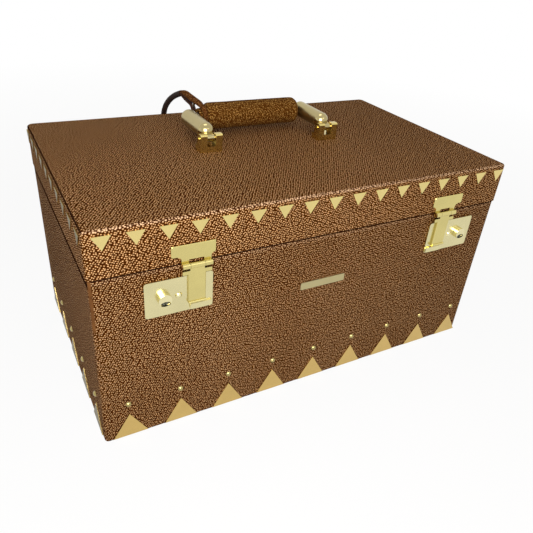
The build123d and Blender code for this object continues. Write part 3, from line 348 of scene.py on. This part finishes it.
def knob_metal(name, colour):
    """Polished brass, with painted shade inside the pocket for the key."""
    material = metal(name, colour, 0.06, brush=0.0, smudge=0.03)
    tree = material.node_tree
    shader = tree.nodes["Principled BSDF"]
    place = add(tree, "ShaderNodeTexCoord").outputs["Object"]
    parts = add(tree, "ShaderNodeSeparateXYZ", {0: place})
    off_middle = math_node(tree, "SUBTRACT", parts.outputs["X"], LOCK_SHIFT * MM)
    across = math_node(tree, "SUBTRACT", math_node(tree, "ABSOLUTE", off_middle), KNOB_OUT * MM)
    upward = math_node(tree, "SUBTRACT", parts.outputs["Z"], KNOB_UP * MM)
    squares = [math_node(tree, "MULTIPLY", offset, offset) for offset in (across, upward)]
    from_axis = math_node(tree, "SQRT", math_node(tree, "ADD", *squares))
    inside = math_node(tree, "LESS_THAN", from_axis, POCKET_REACH * MM)
    sunk = math_node(tree, "GREATER_THAN", parts.outputs["Y"], (POCKET_TOP - KNOB_FRONT) * MM)
    before = shader.inputs["Base Color"].links[0].from_socket
    # Painted shade inside the key's pocket.
    dark = mix_colour(tree, math_node(tree, "MULTIPLY", inside, sunk), before, POCKET_SHADE)
    tree.links.new(dark, shader.inputs["Base Color"])
    return material


# Velvet, wood, mirror and ribbon

WOOD_TONES = ((0.25, (0.42, 0.27, 0.14)), (0.75, (0.62, 0.46, 0.28)))
WOOD_STRETCH = (0.12, 1.0, 1.0)
RIBBON_TONES = ((0.0, (0.12, 0.055, 0.025)), (1.0, (0.30, 0.15, 0.07)))
MIRROR_DUST = ((0.55, 0.02), (0.85, 0.09))


def velvet(name, dark, light):
    """Velvet or felt with a soft nap that lies in patches."""
    material, tree, shader, place = new_material(name)
    nap = noise_value(tree, place, 70.0, 4.0, 0.6)
    fibre = noise_value(tree, place, 3200.0)
    colour = ramp(tree, nap, [(0.3, dark), (0.7, light)])
    colour = mix_colour(tree, 1.0, colour, ramp(tree, fibre, [(0.3, 0.8), (0.7, 1.1)]), "MULTIPLY")
    tree.links.new(colour, shader.inputs["Base Color"])
    shader.inputs["Roughness"].default_value = 0.9
    shader.inputs["Sheen Weight"].default_value = 0.5
    shader.inputs["Sheen Roughness"].default_value = 0.4
    tree.links.new(bump(tree, fibre, 0.15 * MM, 0.6), shader.inputs["Normal"])
    return material


def plywood(name):
    """Bare plywood, its grain drawn out along the trunk."""
    material, tree, shader, place = new_material(name)
    along = add(tree, "ShaderNodeMapping", {"Vector": place, "Scale": WOOD_STRETCH}).outputs[0]
    rings = noise_value(tree, along, 220.0, 5.0, 0.6)
    tree.links.new(ramp(tree, rings, WOOD_TONES), shader.inputs["Base Color"])
    shader.inputs["Roughness"].default_value = 0.62
    tree.links.new(bump(tree, rings, 0.1 * MM, 0.5), shader.inputs["Normal"])
    return material


def mirror_silver(name):
    """Mirror glass with a little dust on it."""
    material, tree, shader, place = new_material(name)
    shader.inputs["Metallic"].default_value = 1.0
    dust = noise_value(tree, place, 400.0, 4.0)
    tree.links.new(ramp(tree, dust, MIRROR_DUST), shader.inputs["Roughness"])
    shader.inputs["Base Color"].default_value = (0.86, 0.88, 0.89, 1.0)
    return material


def ribbon_cloth(name):
    """Ribbed ribbon."""
    material, tree, shader, place = new_material(name)
    wave = {"Vector": place, "Scale": 260.0, "Distortion": 0.4}
    ribs = add(tree, "ShaderNodeTexWave", wave, bands_direction="Z").outputs["Fac"]
    tree.links.new(ramp(tree, ribs, RIBBON_TONES), shader.inputs["Base Color"])
    shader.inputs["Roughness"].default_value = 0.6
    tree.links.new(bump(tree, ribs, 0.12 * MM, 0.6), shader.inputs["Normal"])
    return material


# Colours, and which piece has which

# Colours between the pebbles, on their slopes and on their tops, for these leathers: their own tones, with
# painted shade in the hollows and painted highlight on the tops.
VALLEY = (0.044, 0.0105, 0.0010)
SLOPE = (0.196, 0.083, 0.018)
PEAK = (0.88, 0.60, 0.345)
CASE_TONES = (VALLEY, SLOPE, PEAK)
# The lid's leather lighter on its slopes and tops than the case's: painted light, for the lid that is lit
# more.
LID_LIT_TONES = (VALLEY, tuple(1.4 * channel for channel in SLOPE), tuple(1.14 * channel for channel in PEAK))
GRIP_TONES = ((0.080, 0.026, 0.004), (0.33, 0.170, 0.040), (0.90, 0.58, 0.190))
STRAP_TONES = ((0.070, 0.022, 0.005), (0.24, 0.100, 0.028), (0.62, 0.34, 0.14))
# Dark for the painted shade at the lid's seam and down the case's ends under the lid, and for dark lines
# along the lid's top end edges and the case's bottom edge.
SEAM_SHADE_AND_EDGE_DARK = (0.022, 0.008, 0.004)
# Light tan laid on the pebbles' tops along edges: painted highlight, partly rubbed wear.
RUBBED = (0.86, 0.58, 0.36)
SEAM_BUFFED = ("Z", 142.6, 148.6)
ARM_BUFFED = ("Y", -20.0, 7.4)

lid_bands = (
    # Painted shade along the lid's bottom edge, over the seam.
    ((None, None, (LID_BOTTOM - 1.0, LID_BOTTOM - 0.1)), SEAM_SHADE_AND_EDGE_DARK, 0.9, "PAINT"),
    # A dark line along the lid's top end edges.
    (((LID_X - 0.9, LID_X + 1), None, (LID_TOP - 0.9, LID_TOP + 1)), SEAM_SHADE_AND_EDGE_DARK, 0.95, "PAINT"),
    # Painted highlight along the lid's front top edge, on the pebbles' tops, partly rubbed wear.
    ((None, (-LID_Y - 1, 1.2 - LID_Y), (LID_TOP - 1.4, LID_TOP + 1)), RUBBED, 0.9, "RUB"),
)
case_bands = (
    # Painted shade along the case's top edge under the lid.
    ((None, None, (CASE_TOP - 0.4, CASE_TOP + 1)), SEAM_SHADE_AND_EDGE_DARK, 0.95, "PAINT"),
    # Lighter pebble tops just under the case's top edge.
    ((None, None, (CASE_TOP - 3.0, CASE_TOP - 1.0)), RUBBED, 0.25, "RUB"),
    # Dark along the case's bottom edge.
    ((None, None, (-1.0, 0.6)), SEAM_SHADE_AND_EDGE_DARK, 0.9, "PAINT"),
    # Painted shadow of the lid's overhang, a strip down the case's ends under the lid.
    (((CASE_X - 0.6, CASE_X + 1), None, (CASE_TOP - 5.8, CASE_TOP + 1)), SEAM_SHADE_AND_EDGE_DARK, 0.97, "PAINT"),
)

materials = {
    "leather": pebbled_leather("bronze_leather", 1.55, CASE_TONES, 0.45, bands=case_bands),
    # The lid's leather, a copy of the case's with painted light.
    "lid_leather_lit": pebbled_leather("lid_leather_lit", 1.62, LID_LIT_TONES, 0.42, bands=lid_bands),
    "grip_leather": pebbled_leather("grip_leather", 1.15, GRIP_TONES, 0.22, flat_sides=False),
    "strap_bronze": pebbled_leather("strap_bronze", 1.1, STRAP_TONES, 0.2, flat_sides=False),
    "strap_leather": smooth_leather("strap_leather", (0.020, 0.007, 0.005), (0.075, 0.030, 0.016)),
    "thong_leather": smooth_leather("thong_leather", (0.007, 0.003, 0.002), (0.026, 0.011, 0.006), 0.55),
    "seam_leather": smooth_leather("seam_leather", (0.085, 0.032, 0.008), (0.16, 0.066, 0.018)),
    "plate_brass": metal("plate_brass", (0.72, 0.65, 0.355), 0.2, polished=SEAM_BUFFED),
    "hasp_brass": metal("hasp_brass", (0.68, 0.58, 0.225), 0.2, polished=SEAM_BUFFED),
    "knob_brass": knob_metal("knob_brass", (0.80, 0.73, 0.42)),
    # Steel for the key plugs, darkened as painted shade in the key's pocket.
    "plug_steel_shaded": metal("plug_steel_shaded", (0.16, 0.16, 0.12), 0.12, brush=0.0),
    "triangle_brass": metal("triangle_brass", (0.78, 0.63, 0.25), 0.12, warp=0.55),
    # Darker brass for the foot triangles on the front and back: painted shade, the dimmer reflection near the
    # trunk's foot.
    "foot_brass_shaded": metal("foot_brass_shaded", (0.62, 0.43, 0.145), 0.14, warp=0.55),
    # Darker brass, reflecting less when seen edge on, for the triangles on the trunk's ends: painted shade.
    "end_triangle_brass_shaded": metal("end_triangle_brass_shaded", (0.64, 0.50, 0.20), 0.2, warp=0.55, rim=0.3),
    "nameplate_brass": metal("nameplate_brass", (0.49, 0.42, 0.22), 0.35),
    "handle_brass": metal("handle_brass", (0.66, 0.53, 0.19), 0.2, brush=0.0),
    "arm_brass": metal("arm_brass", (0.45, 0.37, 0.175), 0.30, brush=0.0, polished=ARM_BUFFED),
    "hinge_brass": metal("hinge_brass", (0.70, 0.60, 0.32), 0.2),
    "frame_brass": metal("frame_brass", (0.72, 0.60, 0.32), 0.3),
    "lock_steel": metal("lock_steel", (0.50, 0.50, 0.49), 0.3),
    "stud_brass": metal("stud_brass", (0.40, 0.32, 0.125), 0.10, brush=0.0),
    "mirror": mirror_silver("mirror_silver"),
    "lining": velvet("lining_velvet", (0.46, 0.37, 0.26), (0.60, 0.50, 0.36)),
    "ring_roll_velvet": velvet("roll_velvet", (0.48, 0.39, 0.28), (0.62, 0.53, 0.39)),
    "base_felt": velvet("base_felt", (0.012, 0.010, 0.008), (0.03, 0.025, 0.02)),
    "ribbon": ribbon_cloth("pull_ribbon"),
    "wood": plywood("case_plywood"),
}


def set_material(piece, slot):
    """Give a new piece one material in place of any it has."""
    piece.data.materials.clear()
    piece.data.materials.append(materials[slot])


own_finish = {"lid_covering": "lid_leather_lit", "studs": "stud_brass"}
for side in ("left", "right"):
    own_finish[f"key_plug_{side}"] = "plug_steel_shaded"
    own_finish[f"hasp_mount_{side}"] = "hasp_brass"
    own_finish[f"hasp_{side}"] = "hasp_brass"
    own_finish[f"handle_arm_{side}"] = "arm_brass"
    own_finish[f"foot_triangles_{side}"] = "end_triangle_brass_shaded"
    own_finish[f"lid_triangles_{side}"] = "end_triangle_brass_shaded"
for side in ("front", "back"):
    own_finish[f"foot_triangles_{side}"] = "foot_brass_shaded"

# Bevel widths in millimetres
bevels = {"nameplate": 0.15, "rear_case_leaves": 0.2, "rear_lid_leaves": 0.2, "mirror_frame": 0.3}
for side in ("left", "right"):
    bevels[f"lock_plate_{side}"] = 0.3
    bevels[f"hasp_mount_{side}"] = 0.25
    bevels[f"hasp_{side}"] = 0.2
    bevels[f"handle_mount_{side}"] = 0.9
for side in ("front", "back", "left", "right"):
    bevels[f"foot_triangles_{side}"] = 0.2
    bevels[f"lid_triangles_{side}"] = 0.2


def soften_edges(piece, width):
    """A small bevel, which catches the light along stamped and milled edges."""
    edge = piece.modifiers.new("worn_edges", "BEVEL")
    edge.width = width * MM
    edge.segments = 2
    edge.limit_method = "ANGLE"
    edge.angle_limit = math.radians(40)


def dress_cad_nodes():
    """Give each CAD node its material and, where its edges catch the light, its bevel."""
    for entry in frame["record"]["subparts"]:
        name = entry["node"]
        piece = nodes[name]
        slot = own_finish.get(name, entry["material_slot"])
        if not piece.material_slots:
            piece.data.materials.append(None)
        for holder in piece.material_slots:
            holder.material = materials[slot]
        if name in bevels:
            soften_edges(piece, bevels[name])


dress_cad_nodes()


# Helpers for soft pieces

ROUND_STEPS = 6


def smoothed(piece, render_levels):
    """Round a piece's facets off with a subdivision surface."""
    smooth = piece.modifiers.new("soften", "SUBSURF")
    smooth.levels = 1
    smooth.render_levels = render_levels


def round_end(length, low, high):
    """(distance from the end, radius) along an end that is rounded from a low radius up to a high one."""
    turns = [math.radians(90.0 * step / ROUND_STEPS) for step in range(ROUND_STEPS + 1)]
    return [(length * (1 - math.cos(turn)), low + (high - low) * math.sin(turn)) for turn in turns]


def ring_faces(rings, around, closed=True):
    """Faces between neighbouring rings of points, and from the last ring to the first where they close."""
    faces = []
    for ring in range(rings if closed else rings - 1):
        start = ring * around
        following = (ring + 1) % rings * around
        for step in range(around):
            other = (step + 1) % around
            faces.append((start + step, start + other, following + other, following + step))
    return faces


def grid_faces(rows, columns):
    """Faces of a sheet of points, which lie row after row with one point more than columns in each."""
    width = columns + 1
    corners = [row * width + column for row in range(rows) for column in range(columns)]
    return [(corner, corner + 1, corner + width + 1, corner + width) for corner in corners]


# Leather loop on the grip's neck, and its thong: millimetres and degrees

THONG_DROP = 20.0
THONG_LEAD = 8.6
RING_STEPS = 17
RING_START = 76
RING_TURN = 13.5
RING_RADIUS = 8.8
RING_LIFT = 0.9
RING_HALF_WIDTH = 2.1
LOWER_LAYER = range(17, 25)
OUTER_CORNERS = range(4, 10)

lean = math.radians(LOOP_TILT)
loop_origin = Vector((GRIP_LEFT + NECK_LENGTH / 2, GRIP_Y, LID_TOP))
loop_back = Vector((-math.sin(lean), math.cos(lean), 0.0))
loop_side = Vector((math.cos(lean), math.sin(lean), 0.0))


def loop_point(reach, rise, side=0.0):
    """A point from how far it lies along the loop, over the lid and to the loop's side."""
    return loop_origin + loop_back * reach + Vector((0, 0, rise)) + loop_side * side


def make_thong():
    """A stiff leather thong along the same route as in the model."""
    drop = math.radians(THONG_DROP)
    start = Vector((LOOP_TIP_REACH + math.cos(drop), LOOP_TIP_RISE - math.sin(drop)))
    lead = start + THONG_LEAD * Vector((math.cos(drop), -math.sin(drop)))
    route = [
        loop_point(*start),
        loop_point(*lead),
        Vector((-51.2, 96.0, LID_TOP + 17.6)),
        Vector((-52.5, 104.4, LID_TOP + 11.2)),
        Vector((-53.5, 110.8, LID_TOP + 3.8)),
        Vector((-54.1, 114.0, LID_TOP - 6.0)),
        Vector((-54.3, 115.3, LID_TOP - 18.0)),
    ]
    curve = bpy.data.curves.new("strap_thong_curve", "CURVE")
    curve.dimensions = "3D"
    spline = curve.splines.new("NURBS")
    spline.points.add(len(route) - 1)
    for point, place in zip(spline.points, route):
        point.co = (*(place * MM), 1.0)
    spline.order_u = 3
    spline.use_endpoint_u = True
    spline.resolution_u = 12
    curve.bevel_depth = THONG_DIAMETER / 2 * MM
    curve.bevel_resolution = 5
    curve.use_fill_caps = True
    piece = add_object("thong", curve)
    set_material(piece, "thong_leather")
    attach(piece, "grip_strap")
    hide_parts("strap_thong")


make_thong()


def loop_line():
    """Points round the loop's middle line, from the top of the neck by its front and the tip and back.

    Each is the distance along the loop from the grip's axis to the tip, the height over that line, half the
    band's width and half its thickness.
    """
    length = math.hypot(LOOP_TIP_REACH, LOOP_TIP_RISE - GRIP_RISE)
    points = []
    for step in range(RING_STEPS):
        angle = math.radians(RING_START + RING_TURN * step)
        lift = RING_LIFT * max(0.0, math.sin(angle))
        out = (RING_RADIUS + lift) * math.cos(angle)
        over = (RING_RADIUS + lift) * math.sin(angle)
        points.append((out, over, RING_HALF_WIDTH, 1.15 + 0.4 * lift))
    points += [(8.3, -5.9, 2.1, 1.0), (11.5, -2.6, 2.3, 1.0), (15.0, 0.6, 2.2, 1.1), (19.0, 0.9, 2.2, 1.1)]
    points += [(24.0, -0.2, 2.2, 1.1), (29.0, -0.9, 2.1, 1.0), (length - 2.0, -1.0, 1.9, 0.9)]
    points += [(length + 0.6, -0.8, 1.8, 0.8), (length + 1.5, 0.3, 1.8, 0.8), (length + 0.7, 1.5, 2.0, 0.9)]
    points += [(length - 2.5, 2.7, 2.5, 1.6), (30.0, 3.8, 2.8, 2.1), (25.0, 4.6, 3.0, 2.2)]
    points += [(20.0, 5.7, 3.0, 2.2), (15.0, 7.1, 3.0, 2.0), (10.0, 8.4, 3.0, 1.75), (6.0, 9.3, 3.0, 1.55)]
    return points


def make_loop():
    """A strap of doubled leather round the neck: its thick upper layer meets the lower one at a tip."""
    line = loop_line()
    heading = math.atan2(LOOP_TIP_RISE - GRIP_RISE, LOOP_TIP_REACH)
    count = len(line)
    section = [(-1.0, -0.55), (-0.8, -1.0), (0.0, -1.05), (0.8, -1.0), (1.0, -0.55)]
    section += [(1.0, 0.55), (0.8, 0.95), (0.0, 1.1), (-0.8, 0.95), (-1.0, 0.55)]
    points = []
    outer = []
    for index, (out, over, half_width, half_thickness) in enumerate(line):
        ahead = line[(index + 1) % count]
        behind = line[index - 1]
        along = Vector((ahead[0] - behind[0], ahead[1] - behind[1])).normalized()
        puff = 1.0 + 0.05 * noise.noise(Vector((0.25 * out, 0.25 * over, 3.0)))
        for corner, (side, depth) in enumerate(section):
            reach = out + along[1] * depth * half_thickness * puff
            rise = over - along[0] * depth * half_thickness * puff
            turned = (
                reach * math.cos(heading) - rise * math.sin(heading),
                reach * math.sin(heading) + rise * math.cos(heading),
            )
            points.append(loop_point(turned[0], GRIP_RISE + turned[1], side * half_width * puff))
            outer.append(corner in OUTER_CORNERS and index not in LOWER_LAYER)
    piece = mesh_object("strap_band", points, ring_faces(count, len(section)))
    smoothed(piece, 2)
    set_material(piece, "strap_leather")
    piece.data.materials.append(materials["strap_bronze"])
    for face, is_outer in zip(piece.data.polygons, outer):
        face.material_index = 1 if is_outer else 0
    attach(piece, "grip_strap")
    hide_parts("strap_loop")


make_loop()


# Grip: millimetres, with the seam's turn in radians

PAD_RADIUS = 11.6
RIGHT_END_RADIUS = 7.2
ROUND_LENGTH = 4.4
GRIP_STATIONS = 40
GRIP_AROUND = 72
GATHER_LENGTH = 9.0
GATHERS = 14
PADDED_FROM = 9.0
LUMP_DEPTH = 0.22
FOLD_DEPTH = 0.20
SEAM_DEPTH = 0.35
SEAM_TURN = 0.35
SEAM_EDGE = 0.994


def grip_profile():
    """(place along the grip, radius) from the left end's bore to the right end's."""
    left = GRIP_LEFT
    shoulder = left + NECK_LENGTH
    profile = [(left, CORE_RADIUS + 0.1), (left, NECK_RADIUS - 0.6), (left + 0.6, NECK_RADIUS)]
    profile += [(shoulder - 0.4, NECK_RADIUS), (shoulder, NECK_RADIUS + 0.6)]
    for inward, radius in round_end(ROUND_LENGTH, NECK_RADIUS, PAD_RADIUS)[1:]:
        profile.append((shoulder + inward, radius))
    start = profile[-1][0]
    end = GRIP_RIGHT - ROUND_LENGTH
    for step in range(1, GRIP_STATIONS):
        profile.append((start + (end - start) * step / GRIP_STATIONS, PAD_RADIUS))
    for inward, radius in reversed(round_end(ROUND_LENGTH, RIGHT_END_RADIUS, PAD_RADIUS)):
        profile.append((GRIP_RIGHT - inward, radius))
    profile.append((GRIP_RIGHT, CORE_RADIUS + 0.1))
    return profile


def grip_swell(place, angle):
    """How far the padded leather stands out: soft lumps, less the gathers at its ends and the seam below."""
    edge = min(place - GRIP_LEFT - NECK_LENGTH, GRIP_RIGHT - place)
    gather = max(0.0, 1.0 - edge / GATHER_LENGTH) if edge > -0.5 else 0.0
    lumps = LUMP_DEPTH * noise.noise(Vector((0.05 * place, 1.2 * math.cos(angle), 1.2 * math.sin(angle))))
    waver = 2.0 * noise.noise(Vector((angle, 0, 5)))
    folds = FOLD_DEPTH * gather * (0.5 + 0.5 * math.cos(GATHERS * angle + waver))
    seam = SEAM_DEPTH if math.cos(angle + math.pi / 2 + SEAM_TURN) > SEAM_EDGE else 0.0
    return lumps - folds - seam


def make_grip():
    """The padded grip: leather drawn round a soft core, with gathers at its ends and a seam below."""
    profile = grip_profile()
    points = []
    for place, radius in profile:
        for step in range(GRIP_AROUND):
            angle = 2 * math.pi * step / GRIP_AROUND
            swell = grip_swell(place, angle) if radius > PADDED_FROM else 0.0
            total = min(radius + swell, GRIP_RADIUS)
            points.append((place, GRIP_Y + total * math.cos(angle), GRIP_Z + total * math.sin(angle)))
    piece = mesh_object("padded_grip", points, ring_faces(len(profile), GRIP_AROUND))
    smoothed(piece, 1)
    set_material(piece, "grip_leather")
    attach(piece, "handle")
    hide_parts("handle_grip")


make_grip()


# Pads, ring rolls and ribbon pulls inside: millimetres, and shares of a pad's height or a roll's radius

PAD_STEPS = 26
PAD_PULL = 0.9
PAD_ROUNDING = 2.5
PAD_UNDERCUT = 0.12
PAD_RIM = 0.32
PAD_SHOULDER = 0.38
PAD_CROWN = 0.24
PAD_DIMPLE = 0.06
ROLL_AROUND = 40
ROLL_STATIONS = 24
ROLL_END = 3.4
ROLL_END_SHARE = 0.22
ROLL_SHARE = 0.97
ROLL_GATHERS = 10
ROLL_LUMP = 0.03
ROLL_FOLD = 0.05
ROLL_SEAM = 0.05
RIBBON_THICKNESS = 0.25
RIBBON_TO_WALL = 0.2
RIBBON_STEPS = 10
RIBBON_COLUMNS = 8
RIBBON_RIPPLE = 0.1
RIBBON_FOLD_DROP = 0.9
RIBBON_FOLD_RISE = 0.7


def solid_boxes(name):
    """The lowest and highest corners, in millimetres, of each separate solid of a CAD node."""
    work = bmesh.new()
    work.from_mesh(nodes[name].data)
    bmesh.ops.remove_doubles(work, verts=work.verts, dist=0.001 * MM)
    left = set(work.verts)
    boxes = []
    while left:
        first = left.pop()
        island = {first}
        front = [first]
        while front:
            vertex = front.pop()
            for edge in vertex.link_edges:
                other = edge.other_vert(vertex)
                if other not in island:
                    island.add(other)
                    front.append(other)
        left -= island
        low = Vector([min(vertex.co[axis] for vertex in island) / MM for axis in range(3)])
        high = Vector([max(vertex.co[axis] for vertex in island) / MM for axis in range(3)])
        boxes.append((low, high))
    work.free()
    return sorted(boxes, key=lambda box: tuple(box[0]))


def finish_soft(piece, node, slot, body):
    """A stuffed piece's smooth surface, its material and its place in the table."""
    smoothed(piece, 2)
    set_material(piece, slot)
    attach(piece, body)
    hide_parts(node)


def make_pad(name, low, high, node, body):
    """A thin stuffed pad, flat below and crowned above, with its sides pulled in between the corners."""
    middle = (low + high) / 2
    half = (high - low) / 2
    thick = high[2] - low[2]
    steps = PAD_STEPS
    top = []
    bottom = []
    for row in range(steps + 1):
        v = math.sin(math.pi * (row / steps - 0.5))
        for column in range(steps + 1):
            u = math.sin(math.pi * (column / steps - 0.5))
            x = middle[0] + half[0] * u - PAD_PULL * u**5 * (1 - v * v)
            y = middle[1] + half[1] * v - PAD_PULL * v**5 * (1 - u * u)
            inward = min(half[0] * (1 - abs(u)), half[1] * (1 - abs(v)), PAD_ROUNDING) / PAD_ROUNDING
            rounding = math.sqrt(1 - (1 - inward) ** 2)
            dimple = PAD_DIMPLE * noise.noise(Vector((0.05 * x, 0.05 * y, 1.0)))
            height = PAD_RIM + PAD_SHOULDER * rounding + (PAD_CROWN + dimple) * (1 - u * u) * (1 - v * v)
            top.append((x, y, low[2] + thick * height))
            bottom.append((x, y, low[2] + PAD_UNDERCUT * thick * (1 - rounding)))
    count = len(top)
    faces = []
    for upper in grid_faces(steps, steps):
        faces.append(upper)
        faces.append(tuple(count + index for index in reversed(upper)))
    width = steps + 1
    rim = list(range(steps))
    rim += [row * width + steps for row in range(steps)]
    rim += [steps * width + column for column in range(steps, 0, -1)]
    rim += [row * width for row in range(steps, 0, -1)]
    for index, corner in enumerate(rim):
        following = rim[(index + 1) % len(rim)]
        faces.append((corner, count + corner, count + following, following))
    finish_soft(mesh_object(name, top + bottom, faces), node, "lining", body)


def make_roll(name, low, high, seed):
    """A stuffed velvet roll with gathered ends and a sewn seam underneath."""
    radius = (high[0] - low[0]) / 2
    centre = (low + high) / 2
    around = ROLL_AROUND
    ends = round_end(ROLL_END, ROLL_END_SHARE, ROLL_SHARE)
    stations = [(low[1] + inward, share) for inward, share in ends]
    for step in range(1, ROLL_STATIONS):
        along = (high[1] - low[1] - 2 * ROLL_END) * step / ROLL_STATIONS
        stations.append((low[1] + ROLL_END + along, ROLL_SHARE))
    stations += [(high[1] - inward, share) for inward, share in reversed(ends)]
    points = []
    for place, share in stations:
        edge = min(place - low[1], high[1] - place)
        gather = max(0.0, 1.0 - edge / GATHER_LENGTH)
        for step in range(around):
            angle = 2 * math.pi * step / around
            swell = ROLL_LUMP * noise.noise(Vector((0.06 * place, math.cos(angle) + seed, math.sin(angle))))
            swell -= ROLL_FOLD * gather * (0.5 + 0.5 * math.cos(ROLL_GATHERS * angle + seed))
            if step == 3 * around // 4:
                swell -= ROLL_SEAM
            total = radius * min(share * (1 + swell), 1.0)
            points.append((centre[0] + total * math.cos(angle), place, centre[2] + total * math.sin(angle)))
    faces = ring_faces(len(stations), around, closed=False)
    last = (len(stations) - 1) * around
    faces.append(tuple(range(around - 1, -1, -1)))
    faces.append(tuple(last + step for step in range(around)))
    finish_soft(mesh_object(name, points, faces), "ring_rolls", "ring_roll_velvet", "tray")


def make_pull(name, low, high):
    """A ribbon tab folded over at its top, both ends glued to the tray's wall."""
    side = -1.0 if low[0] < 0 else 1.0
    wall = low[0] if side < 0 else high[0]
    gap = (high[0] - low[0]) / 2 - RIBBON_THICKNESS
    height = high[2] - low[2]
    near = wall - side * RIBBON_TO_WALL
    far = wall - side * (RIBBON_TO_WALL + 2 * gap)
    line = [(near, low[2] + height * step / RIBBON_STEPS) for step in range(RIBBON_STEPS)]
    for step in range(5):
        turn = math.radians(45.0 * step)
        x = wall - side * (RIBBON_TO_WALL + gap * (1 - math.cos(turn)))
        line.append((x, high[2] - RIBBON_FOLD_DROP + RIBBON_FOLD_RISE * math.sin(turn)))
    line += [(far, low[2] + height * step / RIBBON_STEPS) for step in reversed(range(RIBBON_STEPS))]
    points = []
    for x, z in line:
        for column in range(RIBBON_COLUMNS + 1):
            across = low[1] + (high[1] - low[1]) * column / RIBBON_COLUMNS
            waved = RIBBON_RIPPLE * math.sin(3.0 * math.pi * column / RIBBON_COLUMNS)
            ripple = waved * max(0.0, (z - low[2]) / height - 0.5)
            points.append((x - side * abs(ripple), across, z))
    piece = mesh_object(name, points, grid_faces(len(line) - 1, RIBBON_COLUMNS))
    cloth = piece.modifiers.new("ribbon", "SOLIDIFY")
    cloth.thickness = RIBBON_THICKNESS * MM
    cloth.offset = 0.0
    set_material(piece, "ribbon")
    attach(piece, "tray")
    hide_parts("tray_pulls")


for number, (low, high) in enumerate(solid_boxes("well_pad"), 1):
    make_pad(f"well_cushion_{number}", low, high, "well_pad", "case")
for number, (low, high) in enumerate(solid_boxes("tray_pads"), 1):
    make_pad(f"tray_cushion_{number}", low, high, "tray_pads", "tray")
for number, (low, high) in enumerate(solid_boxes("ring_rolls"), 1):
    make_roll(f"ring_roll_{number}", low, high, number)
for number, (low, high) in enumerate(solid_boxes("tray_pulls"), 1):
    make_pull(f"ribbon_pull_{number}", low, high)


# Floor, lights and world, in metres

SOFT_LIGHT = (0.21, 0.195, 0.165)
WHITE = (1.0, 1.0, 1.0)
FLOOR_REACH = 30.0
FLOOR_GREY = (0.80, 0.80, 0.80, 1.0)
FLOOR_GLOW = ((0.2, 0.92), (0.6, 1.0))


def shows_background(tree):
    """1 for the rays that show the white background: the camera's, and those off or through a surface."""
    path = add(tree, "ShaderNodeLightPath")
    through = math_node(tree, "ADD", path.outputs["Is Glossy Ray"], path.outputs["Is Transmission Ray"])
    return math_node(tree, "ADD", path.outputs["Is Camera Ray"], through, clamp=True)


def make_floor():
    """A white floor that keeps the trunk's shadow, a touch less white near the trunk."""
    reach = FLOOR_REACH
    corners = [(-reach, -reach, 0), (reach, -reach, 0), (reach, reach, 0), (-reach, reach, 0)]
    mesh = bpy.data.meshes.new("floor")
    mesh.from_pydata(corners, [], [(0, 1, 2, 3)])
    floor = add_object("floor", mesh)
    material, tree, shader, place = new_material("floor_white")
    shader.inputs["Base Color"].default_value = FLOOR_GREY
    shader.inputs["Roughness"].default_value = 0.9
    shader.inputs["Specular IOR Level"].default_value = 0.0
    glow = add(tree, "ShaderNodeEmission", {"Color": (1, 1, 1, 1), "Strength": 1.0})
    away = add(tree, "ShaderNodeVectorMath", {0: place}, operation="LENGTH").outputs["Value"]
    pale = ramp(tree, math_node(tree, "MULTIPLY", away, 0.5), FLOOR_GLOW)
    seen = math_node(tree, "MULTIPLY", shows_background(tree), pale)
    blend = add(tree, "ShaderNodeMixShader", {0: seen, 1: shader.outputs[0], 2: glow.outputs[0]})
    tree.links.new(blend.outputs[0], tree.nodes["Material Output"].inputs["Surface"])
    floor.data.materials.append(material)


def area_light(name, place, target, size, power, colour=WHITE):
    """A soft rectangular light: its place, its target and its size in metres, and its power in watts."""
    data = bpy.data.lights.new(name, "AREA")
    data.shape = "RECTANGLE"
    data.size = size[0]
    data.size_y = size[1]
    data.energy = power
    data.color = colour
    lamp = add_object(name, data)
    direction = Vector(target) - Vector(place)
    lamp.rotation_euler = direction.to_track_quat("-Z", "Y").to_euler()
    lamp.location = place


def make_world():
    """White where it is seen, also in metal and glass, and a soft even light on everything else."""
    world = bpy.data.worlds.new("studio")
    bpy.context.scene.world = world
    world.use_nodes = True
    tree = world.node_tree
    background = tree.nodes["Background"]
    colour = mix_colour(tree, shows_background(tree), SOFT_LIGHT, WHITE)
    tree.links.new(colour, background.inputs["Color"])
    background.inputs["Strength"].default_value = 1.0


make_floor()
make_world()
area_light("key", (-0.27, -0.52, 0.40), (0.0, -0.05, 0.08), (0.40, 0.35), power=4.4, colour=(1.0, 0.97, 0.95))
area_light("top", (0.0, 0.15, 1.1), (0.0, 0.0, 0.1), (0.5, 0.4), power=1.3)
area_light("side", (-1.3, 0.4, 0.5), (0.0, 0.0, 0.1), (0.5, 0.6), power=0.3, colour=(0.80, 0.92, 1.0))
area_light("strip", (0.30, -0.75, 0.78), (0.0, 0.0, 0.15), (0.5, 0.2), power=0.5, colour=(1.0, 0.97, 0.92))

bpy.context.scene.view_settings.view_transform = "Standard"
